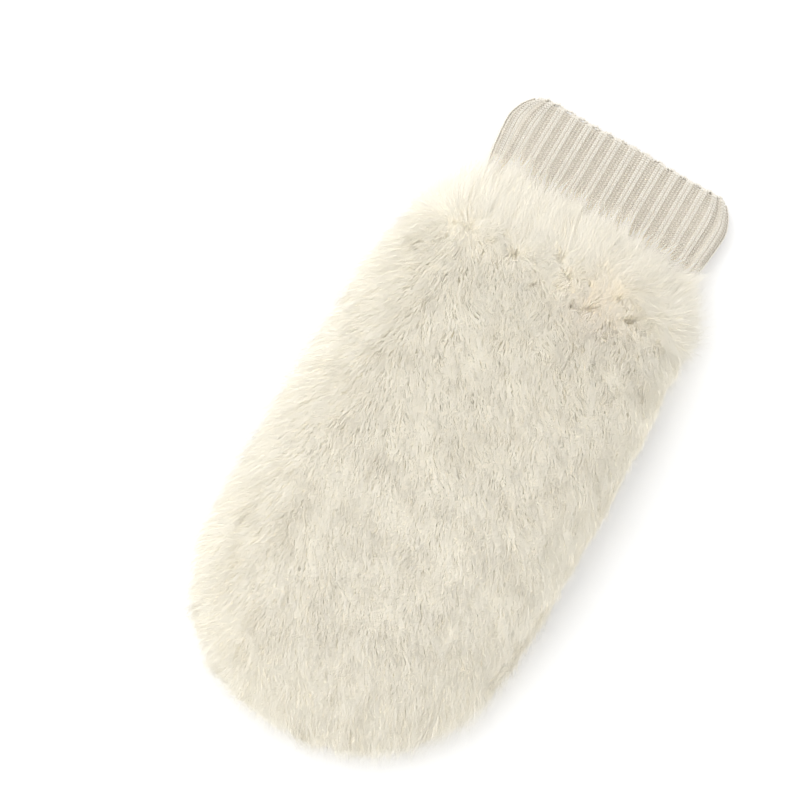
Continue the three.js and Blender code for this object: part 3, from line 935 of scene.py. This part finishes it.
def stitched(name, points, out, up, size, template, material, sway=0.08, seed=1):
    """A mesh of stitches at points given in millimetres from the cuff's mouth."""
    points = np.asarray(points).reshape(-1, 3)
    carrier_mesh = mesh_of(name, points, [])
    sizes = np.broadcast_to(np.asarray(size, float) * MM, points.shape)
    for key, values in (("out", out), ("up", up), ("size", sizes)):
        layer = carrier_mesh.attributes.new(key, "FLOAT_VECTOR", "POINT")
        layer.data.foreach_set("vector", np.asarray(values, np.float32).reshape(-1))
    carrier = placed(name, carrier_mesh)
    values = {"Stitch": template, "Sway": sway, "Seed": seed, "Material": material}
    tree = bpy.data.node_groups.get(STITCH_TREE) or stitch_tree()
    mesh = grown_mesh(carrier, tree, values)
    mesh.name = name
    discard(carrier)
    return mesh


def rib_height(phase):
    """Ribs as the solids have them: 0 on a rib's top and -2 between ribs."""
    return np.clip(np.sin((phase + 0.125) * 2 * np.pi) * math.sqrt(2), -1, 1) - 1


# Settings


def colour_setting(name, description, code):
    """A colour that the panel shows, with its sRGB hex code as the default."""
    return FloatVectorProperty(name=name, description=description, subtype="COLOR",
                               size=4, min=0, max=1, default=linear(code))


class FurSettings(bpy.types.PropertyGroup):
    length: FloatProperty(
        name="Length", description="Length of the hair on the back",
        default=9.5 * MM, unit="LENGTH", precision=4)
    width: FloatProperty(
        name="Strand width", description="Width of one modelled strand, which stands for many hairs",
        default=0.15 * MM, unit="LENGTH", precision=5)
    tuft: FloatProperty(
        name="Tuft spacing", description="Distance between tufts",
        default=1.7 * MM, unit="LENGTH", precision=4)
    clumping: FloatProperty(
        name="Clumping", description="How far the hairs of a tuft meet at its tip",
        default=0.27, subtype="FACTOR", min=0, max=1)
    ruffle: FloatProperty(
        name="Ruffle", description="How unevenly the fur is combed", default=1.1, min=0)
    crown: FloatProperty(
        name="Crown", description="Distance from the cuff's mouth to where the fur parts",
        default=66.0 * MM, unit="LENGTH", precision=4)
    strands: IntProperty(
        name="Strands", description="Strands in each length of the fur", default=84000, min=1)
    seed: IntProperty(name="Seed", description="Seed of the fur's scatter", default=4)
    tip: colour_setting("Tips", "Colour of the hairs' tips", "#ECE8DC")
    root: colour_setting("Roots", "Colour of the hairs' roots", "#D8D2C3")
    # Painted light: the lighter colour painted on the hair at the cuff and on the thumb's edge, where
    # the key light falls.
    painted_light_colour: colour_setting(
        "At the cuff", "Colour of the longer hair at the cuff and the thumb's edge", "#E8E4D9")
    pinker: colour_setting("At the crown", "Colour of the hair at the middle of the crown", "#E6E0D4")
    under_light: colour_setting("Light underfur", "Lighter colour of the underfur", "#EDE9DD")
    under_dark: colour_setting("Dark underfur", "Darker colour of the underfur", "#E1DCCE")


class KnitSettings(bpy.types.PropertyGroup):
    # The light and dark yarn colours are the same yarn lit and in painted shade in its grooves.
    light: colour_setting("Light yarn", "Colour of the yarn in the light", "#F8F4EB")
    dark: colour_setting("Dark yarn", "Colour of the yarn in its grooves", "#E6E0D4")
    # Painted shade: the yarn between the ribs is given darker colours than the same yarn on the ribs.
    shade: colour_setting("Light between ribs", "Lighter colour of the yarn between ribs", "#EEE8DD")
    deep: colour_setting("Dark between ribs", "Darker colour of the yarn between ribs", "#DED7C9")
    # Painted shade: the gaps between plain stitches are painted in this darker colour.
    groove: colour_setting("Between stitches", "Colour of the gaps between plain stitches", "#B8AB98")
    thread: colour_setting("Thread", "Colour of the serging thread", "#E6DCCE")


class StageSettings(bpy.types.PropertyGroup):
    azimuth: FloatProperty(
        name="Azimuth", description="Turn of the camera round the mitten",
        default=math.radians(210.35), subtype="ANGLE")
    elevation: FloatProperty(
        name="Elevation", description="Height angle of the camera",
        default=math.radians(80.0), subtype="ANGLE")
    distance: FloatProperty(
        name="Distance", description="From the camera to the mitten", default=0.9, unit="LENGTH")
    lens: FloatProperty(name="Lens", description="Focal length in millimetres", default=100.0)
    key: FloatProperty(
        name="Key light", description="Power of the key light in watts", default=6.0, min=0)
    sky: FloatProperty(
        name="Sky", description="Strength of the even light from all round", default=1.08, min=0)
    paper: colour_setting("Floor", "Colour of the paper floor", "#FDFDFD")


# Operators


class MITTEN_OT_stage(bpy.types.Operator):
    """Lay the white floor, light it softly from the upper left and set the camera"""
    bl_idname = "mitten.stage"
    bl_label = "Stage"

    def execute(self, context):
        scene = context.scene
        settings = scene.mitten_stage
        azimuth, elevation = settings.azimuth, settings.elevation
        right = Vector((math.cos(azimuth), math.sin(azimuth), 0))
        back = Vector((math.sin(azimuth) * math.cos(elevation),
                       -math.cos(azimuth) * math.cos(elevation), math.sin(elevation)))
        up = back.cross(right)
        mouth = MOUTH + Vector((0, 0, AIM_HEIGHT * MM))
        target = mouth - right * AIM_ACROSS * MM - up * AIM_BELOW * MM
        data = bpy.data.cameras.new("camera")
        data.lens = settings.lens
        data.sensor_width = 36.0
        camera = placed("camera", data)
        turned = Matrix((right, up, back)).transposed().to_4x4()
        camera.matrix_world = Matrix.Translation(target + back * settings.distance) @ turned
        scene.camera = camera

        reach = FLOOR_SIDE / 2
        corners = [(-reach, -reach, 0), (reach, -reach, 0), (reach, reach, 0), (-reach, reach, 0)]
        floor_mesh = bpy.data.meshes.new("floor")
        floor_mesh.from_pydata(corners, [], [(0, 1, 2, 3)])
        floor_mesh.materials.append(paper_material("matt white paper", settings.paper))
        floor = placed("floor", floor_mesh)

        lamp = bpy.data.lights.new("key", "AREA")
        lamp.shape = "DISK"
        lamp.size = LAMP_ACROSS
        lamp.energy = settings.key
        key = placed("key", lamp)
        away = right * LAMP_RIGHT + up * LAMP_UP + back * LAMP_BACK
        key.location = target + away
        key.rotation_euler = away.to_track_quat("Z", "Y").to_euler()

        world = bpy.data.worlds.new("soft studio")
        world.use_nodes = True
        world.node_tree.nodes["Background"].inputs["Color"].default_value = (1, 1, 1, 1)
        world.node_tree.nodes["Background"].inputs["Strength"].default_value = settings.sky
        scene.world = world
        scene.view_settings.view_transform = "Standard"
        scene.view_settings.look = "None"
        return {"FINISHED"}


class MITTEN_OT_cuff(bpy.types.Operator):
    """Knit the ribbed cuff, stitch by stitch over a ribbed wall, with its bound-off mouth"""
    bl_idname = "mitten.cuff"
    bl_label = "Rib cuff"

    def execute(self, context):
        knit = context.scene.mitten_knit
        yarn = yarn_material("cashmere yarn", knit.light, knit.dark)
        # Painted shade: the wall between the ribs and the purl stitches take a darker copy of the
        # yarn.
        shade = yarn_material("cashmere yarn with painted shade between ribs", knit.shade, knit.deep)
        self.wall(shade)
        wales = 4 * CUFF_RIBS
        phases = np.arange(wales) / wales
        turns = even_turns(CUFF, CUFF_MIDDLE, phases)
        column_width = CUFF_ROUND / wales
        places = np.arange(1.3, CUFF_LENGTH - 0.4, COURSE)
        for name, first, depth, template, wide, material in (
            ("cuff_knit", 0, -YARN, knit_stitch(), 0.98 * column_width, yarn),
            ("cuff_purl", 2, -PURL_SUNK, purl_stitch(), column_width, shade),
        ):
            chosen = np.flatnonzero(np.arange(wales) % 4 // 2 == first // 2)
            swell = depth + self.wander(places, turns[chosen])
            points, out, up = frames_on(CUFF, places, turns[chosen], swell)
            points = self.scalloped(points, places, phases[chosen] * CUFF_RIBS)
            mesh = stitched(name, points, out, up, (wide, COURSE, 0.9), template, material)
            piece_of(name, mesh, ("rib_cuff",), "cashmere_rib")
            discard(template)
        self.mouth(yarn)
        return {"FINISHED"}

    def wander(self, places, turns):
        """How the cuff's surface strays from its form."""
        places, turns = np.asarray(places)[:, None], np.asarray(turns)[None, :]
        return 0.25 * np.sin(places / 9 + 9 * turns) * np.sin(2 * np.pi * 5 * turns)

    def scalloped(self, points, places, phase):
        """Ribs reach a little past the rest of the mouth."""
        reach = 0.3 * (rib_height(phase) + 1) + 0.35 * np.sin(phase * 0.9)
        points = points.copy()
        points[..., 1] -= reach[None, :] * smoothstep(9, 0, np.asarray(places))[:, None]
        return points

    def wall(self, material):
        """The wall that carries the stitches, ribbed outside and inside."""
        columns = 8 * CUFF_RIBS
        phases = np.arange(columns) / columns
        turns = even_turns(CUFF, CUFF_MIDDLE, phases)
        phase = phases * CUFF_RIBS
        ribs = CUFF_RIB_DEPTH * rib_height(phase)
        out_places = np.linspace(1.2, CUFF_LENGTH, 20)
        in_places = np.linspace(CUFF_LENGTH, 1.4, 14)
        swell = 0.62 * ribs - 2 * YARN + self.wander(out_places, turns)
        outer = form_points(CUFF, out_places, turns, swell, 0.0)
        outer = self.scalloped(outer, out_places, phase)
        depth = 2 * CUFF_RIB_DEPTH + CUFF_WALL
        inner = form_points(CUFF, in_places, turns, -depth - 0.25 * ribs, CUFF_WALL)
        lip = form_points(CUFF, [0.2, 0.0, 0.3], turns,
                          np.array([[-1.4], [-2.1], [-3.0]]) + 0.4 * ribs, 0.4)
        lip = self.scalloped(lip, [0, 0, 0], phase)
        rings = np.concatenate([lip[1:2], lip[0:1], outer, inner, lip[2:3]])
        uv = stitch_uv(np.concatenate([rings, rings[:1]]), RIB_WALE, COURSE)
        mesh = lofted("cuff_wall", rings, uv, True)
        piece_of("cuff_wall", mesh, ("rib_cuff",), "cashmere_rib", material)

    def mouth(self, material):
        """The bound-off edge: a chain of stitches round the mouth."""
        count = 4 * CUFF_RIBS
        phases = (np.arange(count) + 0.5) / count
        turns = even_turns(CUFF, 1, phases)
        ribs = CUFF_RIB_DEPTH * rib_height(phases * CUFF_RIBS)
        points = form_points(CUFF, [0.2], turns, -1.3 + 0.5 * ribs, YARN)
        points = self.scalloped(points, [0], phases * CUFF_RIBS)[0]
        middle = points.mean(axis=0)
        out = (points - middle) / np.linalg.norm(points - middle, axis=1, keepdims=True)
        out = out * 0.45 + np.array([0, -1.0, 0])
        up = np.roll(points, -1, axis=0) - points
        template = knit_stitch()
        mesh = stitched("cuff_edge", points, out, up, (2.1, 1.55, 1.3), template, material)
        piece_of("cuff_edge", mesh, ("rib_cuff",), "cashmere_rib")
        discard(template)


def loose(points, size):
    """How far soft cloth strays from its form, in millimetres."""
    x, y = points[..., 0], points[..., 1]
    waves = np.sin(x / 13 + y / 31) + np.sin(y / 17 - x / 29 + 1.3) + np.sin(x / 7.5 + y / 11 + 4)
    return size * waves / 3


def cloth(form, places, turns, swell, floor, slack=0.35):
    """Points on a form that is soft cloth."""
    swell = np.asarray(swell, float)
    swell = swell[:, None] if swell.ndim == 1 else swell
    flat = form_points(form, places, turns, swell, floor)
    return form_points(form, places, turns, swell + loose(flat, slack), floor)


class MITTEN_OT_palm(bpy.types.Operator):
    """Knit the hand and the thumb in stockinette"""
    bl_idname = "mitten.palm"
    bl_label = "Hand and thumb"

    def execute(self, context):
        knit = context.scene.mitten_knit
        material = stockinette_material("cashmere stockinette", knit.light, knit.groove)
        self.hand(material)
        self.thumb(material)
        return {"FINISHED"}

    def hand(self, material):
        turns = np.linspace(0.25, 1.25, 129)[:-1]
        places = np.linspace(HAND_START + 0.35, HAND_END - 0.5, 60)
        inset = -smoothstep(123, 136, places) * (KNIT + 2 * BAND_RIB_DEPTH + GAP)
        free = smoothstep(HAND_START, 60, places) * smoothstep(HAND_END, 125, places)
        slack = 0.35 * free[:, None]
        outer = cloth(BODY, places, turns, inset, 0, slack)
        inner = cloth(BODY, places[::3], turns, inset[::3] - KNIT, KNIT, slack[::3])
        lips = [form_points(BODY, [place], turns, drawn - KNIT / 2, KNIT / 2)
                for place, drawn in ((HAND_END, inset[-1]), (HAND_START, inset[0]))]
        rings = np.concatenate([lips[1], outer, lips[0], inner[::-1]])
        uv = stitch_uv(np.concatenate([rings, rings[:1]]), WALE, STOCKINETTE_COURSE)
        mesh = lofted("hand", rings, uv, True)
        piece_of("hand", mesh, ("hand",), "cashmere_knit", material)

    def thumb(self, material):
        turns = np.linspace(0.25, 1.25, 73)[:-1]
        far = length_of(THUMB)
        places = places_along(THUMB, 0.6, 44, 18)
        slack = 0.3 * smoothstep(far, 90, places)[:, None]
        outer = self.under_hand(cloth(THUMB, places, turns, 0 * places, 0, slack), 1.3)
        within = places[::2]
        inner = form_points(THUMB, within, turns, -KNIT, KNIT)
        inner[..., 1] -= KNIT * smoothstep(0, far, within)[:, None]
        inner = self.under_hand(inner, 0.6)
        rings = np.concatenate([inner[::-1], outer])
        mesh = lofted("thumb", rings, stitch_uv(rings, WALE, STOCKINETTE_COURSE), False)
        piece_of("thumb", mesh, ("thumb",), "cashmere_knit", material)

    def under_hand(self, points, depth):
        """Where the thumb grows out of the palm, its top lies within the palm's wall."""
        palm = underside(BODY, points[..., 1], points[..., 0]) + depth
        points[..., 2] = np.minimum(points[..., 2], np.maximum(palm, 0.1))
        return points


class MITTEN_OT_cap(bpy.types.Operator):
    """Knit the fingertip cap with its ribbed band, and serge the seam round its palm"""
    bl_idname = "mitten.cap"
    bl_label = "Flip-top cap"

    def execute(self, context):
        knit = context.scene.mitten_knit
        stockinette = stockinette_material("cashmere stockinette of the cap", knit.light, knit.groove)
        yarn = yarn_material("cashmere yarn of the band", knit.light, knit.dark)
        # Painted shade: the band's wall between the ribs and its purl stitches take a darker copy of
        # the yarn.
        shade = yarn_material("cashmere yarn with painted shade between the band's ribs", knit.shade, knit.deep)
        thread = yarn_material("serging thread", knit.thread, knit.dark)
        self.cap(stockinette)
        self.band(shade, yarn)
        self.seam(thread)
        return {"FINISHED"}

    def cap(self, material):
        turns = np.linspace(0.25, 1.25, 161)[:-1]
        far = length_of(BODY)
        places = places_along(BODY, CAP_START + 0.3, 18, 48)
        flat = form_points(BODY, places, turns)
        free = smoothstep(far, 225, places) * smoothstep(CAP_START, 170, places)
        slack = loose(flat, 0.45) * free[:, None]
        outer = form_points(BODY, places, turns, slack + self.gathers(flat, places), 0)
        within = places[::2]
        drawn = KNIT * smoothstep(CAP_START, far, within)
        inner = form_points(BODY, within + drawn, turns, slack[::2] - KNIT, KNIT)
        inner[..., 1] -= 2 * drawn[:, None]
        lip = form_points(BODY, [CAP_START], turns, -KNIT / 2, KNIT / 2)
        rings = np.concatenate([inner[::-1], lip, outer])
        mesh = lofted("cap", rings, stitch_uv(rings, WALE, STOCKINETTE_COURSE), False)
        piece_of("cap", mesh, ("cap",), "cashmere_knit", material)

    def gathers(self, flat, places):
        """Puckers where the seam draws the cap's palm in."""
        x, y = flat[..., 0], flat[..., 1]
        middle = column(SEAM_ROUTE["table"], "centre", places)[:, None]
        half = half_width(SEAM_ROUTE, places)[:, None]
        inside = half - np.abs(x - middle)
        near = np.exp(-(np.minimum(np.abs(inside), np.abs(length_of(SEAM_ROUTE) - y)) / 6) ** 2)
        beyond = y - TIP_FROM
        turned = np.arctan2(np.maximum(0, beyond), np.abs(x - middle)) * 46
        run = np.where(beyond > 0, turned, beyond)
        below = flat[..., 2] < 14
        return np.where(below, 0.45 * near * np.sin(2 * np.pi * run / 5.6 + 0.8 * np.sin(run / 9)), 0)

    def band(self, wall_material, yarn):
        """Ribs on the band's underside, and a plain top that the fur covers."""
        ribs_each = 8
        share = np.arange(BAND_RIBS * ribs_each) / (BAND_RIBS * ribs_each)
        under = even_turns(BODY, BAND_MIDDLE, share, *BAND_TURNS)
        top = np.linspace(0, 0.496, 40)
        turns = np.concatenate([top, under])
        phase = share * BAND_RIBS
        ribs = np.concatenate([0 * top, BAND_RIB_DEPTH * rib_height(phase)])
        places = np.linspace(BAND_START + 0.4, BAND_END - 0.4, 14)
        outer = form_points(BODY, places, turns, ribs - 0.8 * YARN, 0)
        inner = form_points(BODY, places[::-1], turns, -KNIT - 2 * BAND_RIB_DEPTH, KNIT)
        start = form_points(BODY, [BAND_START], turns, 0.5 * ribs - 1.4, 0)
        end = form_points(BODY, [BAND_END], turns, 0.5 * ribs - 1.4, 0)
        rings = np.concatenate([start, outer, end, inner])
        uv = stitch_uv(np.concatenate([rings, rings[:1]]), RIB_WALE, COURSE)
        mesh = lofted("cap_band", rings, uv, True)
        piece_of("cap_band", mesh, ("cap_band",), "cashmere_rib", wall_material)

        wales = np.arange(4 * BAND_RIBS)
        wale_turns = even_turns(BODY, BAND_MIDDLE, wales / len(wales), *BAND_TURNS)
        rows = np.arange(BAND_START + 1.0, BAND_END - 0.4, COURSE)
        wide = BAND_ACROSS / len(wales)
        for name, first, depth, template, material in (
            ("band_knit", 0, -0.8 * YARN, knit_stitch(), yarn),
            ("band_purl", 2, -2 * BAND_RIB_DEPTH - 0.4 * YARN, purl_stitch(), wall_material),
        ):
            chosen = wales[(wales % 4 == first) | (wales % 4 == first + 1)]
            points, out, up = frames_on(BODY, rows, wale_turns[chosen], depth)
            mesh = stitched(name, points, out, up, (wide, COURSE, 0.8), template, material, seed=7)
            piece_of(name, mesh, ("cap_band",), "cashmere_rib")
            discard(template)

    def seam(self, material):
        """A raised, rumpled ridge on the cap's underside, with thread looped over it."""
        fine = places_along(SEAM_ROUTE, BAND_START + SEAM_INSET, 200, 300, short=0.3)
        at = np.concatenate([fine, fine[::-1]])
        turn = np.concatenate([edge_turns(SEAM_ROUTE, BODY, fine, 1),
                               edge_turns(SEAM_ROUTE, BODY, fine, -1)[::-1]])
        path, out = self.on_body(at, turn, 0 * at)
        run = np.concatenate([[0], np.cumsum(np.linalg.norm(np.diff(path, axis=0), axis=1))])
        steps = np.linspace(0, run[-1], 420)
        at, turn = np.interp(steps, run, at), np.interp(steps, run, turn)
        ripple = 0.3 * np.sin(steps / 1.7 + 1.5 * np.sin(steps / 8)) + 0.2 * np.sin(steps / 0.9)
        path, out = self.on_body(at, turn, ripple)
        way = np.gradient(path, axis=0)
        way /= np.linalg.norm(way, axis=1, keepdims=True)
        aside = np.cross(way, out)
        aside /= np.linalg.norm(aside, axis=1, keepdims=True)
        path = path + aside * (0.45 * np.sin(steps / 2.6 + np.sin(steps / 7)))[:, None]
        round_turns = 2 * np.pi * np.arange(10) / 10
        wide = SEAM_RADIUS * (1 + 0.14 * np.sin(steps / 1.1))[:, None]
        rings = np.stack([path + aside * wide * 1.1 * np.cos(t) - out * wide * 0.85 * np.sin(t)
                          for t in round_turns], axis=1)
        mesh = lofted("seam_ridge", rings, stitch_uv(rings, 0.8, 0.8), False)
        piece_of("seam_ridge", mesh, ("cap_seam",), "seam_thread", material)

        count = int(run[-1] / 1.15)
        places = np.linspace(0.8, run[-1] - 0.8, count)
        picked = [np.stack([np.interp(places, steps, rows[:, k]) for k in range(3)], axis=1)
                  for rows in (path, out, way)]
        lean = np.where(np.arange(count) % 2, 0.3, -0.15)[:, None]
        beside = np.cross(picked[2], picked[1])
        over = [(-1.55, -0.2, -0.9), (-1.25, -0.1, 0.35), (0, 0.1, 1.02), (1.25, 0.1, 0.35),
                (1.55, 0.2, -0.9)]
        loop = yarn_template("overlock loop", spindle(over, 0.3, 0.26, 5))
        along = picked[2] + beside * lean
        mesh = stitched("seam_loops", picked[0], picked[1], along, 1.0, loop, material, 0.1, 5)
        piece_of("seam_loops", mesh, ("cap_seam",), "seam_thread")
        discard(loop)

    def on_body(self, at, turn, ripple):
        """The seam's middle along its route, with the way out of the cap."""
        points, outs = [], []
        for place, angle, more in zip(at, turn, ripple):
            here, out, _ = frames_on(BODY, [place], [angle], SEAM_OFF + SEAM_RADIUS + more, -99)
            points.append(here[0, 0])
            outs.append(out[0, 0])
        points = np.array(points)
        points[:, 2] = np.maximum(points[:, 2], SEAM_RADIUS)
        return points, np.array(outs)


class MITTEN_OT_skin(bpy.types.Operator):
    """Lay the fur's backing over the back and turn it under to its hem"""
    bl_idname = "mitten.skin"
    bl_label = "Fur backing"

    def execute(self, context):
        settings = context.scene.mitten_fur
        material = underfur_material("underfur", settings.under_light, settings.under_dark)
        places, turns, from_hem = skin_grid()
        outer = underfur_points(places, turns, from_hem)
        inner = skin_points(places, turns, FUR_GAP)
        rings = np.concatenate([outer, inner[:, ::-1]], axis=1)
        rows, columns = rings.shape[:2]
        index = np.arange(rows * columns).reshape(rows, columns)
        beside = np.roll(index, -1, axis=1)
        quads = np.stack([index[:-1], index[1:], beside[1:], beside[:-1]], axis=-1)
        faces = quads.reshape(-1, 4).tolist()
        half = columns // 2
        for row, turned in ((0, False), (rows - 1, True)):
            for c in range(half - 1):
                facing = columns - 1 - c
                corners = [index[row, k] for k in (c, c + 1, facing - 1, facing)]
                faces.append([int(v) for v in (corners[::-1] if turned else corners)])
        mesh = mesh_of("fur_backing", rings.reshape(-1, 3), faces)
        piece_of("fur_backing", mesh, ("fur_back",), "fur", material)
        return {"FINISHED"}


class MITTEN_OT_fur(bpy.types.Operator):
    """Grow the fur over the back and round the edges"""
    bl_idname = "mitten.fur"
    bl_label = "Fur back"

    def execute(self, context):
        settings = context.scene.mitten_fur
        material = fur_material("dressed rabbit fur", settings.tip, settings.root,
                                settings.painted_light_colour, settings.pinker)
        skin = fur_skin(settings)
        strand = strand_template()
        tree = fur_tree()
        # The skin is divided along its length into stretches of even area.
        places = np.array([vertex.co.y for vertex in skin.data.vertices])
        faces = skin.data.polygons
        middle = np.array([face.center.y for face in faces])
        area = np.array([face.area for face in faces])
        order = np.argsort(middle)
        share = np.cumsum(area[order]) / area.sum()
        count = len(STRETCHES)
        cuts = [places.min() - 1]
        cuts += [middle[order][np.searchsorted(share, k / count)] for k in range(1, count)]
        cuts.append(places.max() + 1)
        values = {
            "Density": count * settings.strands / float(area.sum()), "Tuft spacing": settings.tuft,
            "Clumping": settings.clumping, "Width": settings.width, "Ruffle": settings.ruffle,
            "Seed": settings.seed, "Strand": strand, "Material": material,
        }
        for name, low, high in zip(STRETCHES, cuts, cuts[1:]):
            mesh = grown_mesh(skin, tree, {**values, "From": float(low), "To": float(high)})
            mesh.name = name
            piece_of(name, mesh, ("fur_back",), "fur")
        discard(skin, strand)
        return {"FINISHED"}


class MITTEN_PT_panel(bpy.types.Panel):
    """The mitten's settings, with a button for each group of pieces"""
    bl_idname = "MITTEN_PT_panel"
    bl_label = "Mitten"
    bl_space_type = "VIEW_3D"
    bl_region_type = "UI"
    bl_category = "Mitten"

    def draw(self, context):
        scene = context.scene
        for label, settings, operators in (
            ("Stage", scene.mitten_stage, (MITTEN_OT_stage,)),
            ("Knitting", scene.mitten_knit, (MITTEN_OT_cuff, MITTEN_OT_palm, MITTEN_OT_cap)),
            ("Fur", scene.mitten_fur, (MITTEN_OT_skin, MITTEN_OT_fur)),
        ):
            box = self.layout.box()
            box.label(text=label)
            for name in type(settings).__annotations__:
                box.prop(settings, name)
            for operator in operators:
                box.operator(operator.bl_idname)


CLASSES = (
    FurSettings, KnitSettings, StageSettings,
    MITTEN_OT_stage, MITTEN_OT_cuff, MITTEN_OT_palm, MITTEN_OT_cap, MITTEN_OT_skin, MITTEN_OT_fur,
    MITTEN_PT_panel,
)


def register():
    for item in CLASSES:
        bpy.utils.register_class(item)
    bpy.types.Scene.mitten_fur = PointerProperty(type=FurSettings)
    bpy.types.Scene.mitten_knit = PointerProperty(type=KnitSettings)
    bpy.types.Scene.mitten_stage = PointerProperty(type=StageSettings)


def unregister():
    del bpy.types.Scene.mitten_stage
    del bpy.types.Scene.mitten_knit
    del bpy.types.Scene.mitten_fur
    for item in reversed(CLASSES):
        bpy.utils.unregister_class(item)


def main():
    register()
    bpy.ops.mitten.stage()
    bpy.ops.mitten.cuff()
    bpy.ops.mitten.palm()
    bpy.ops.mitten.cap()
    bpy.ops.mitten.skin()
    bpy.ops.mitten.fur()


if __name__ == "__main__":
    main()
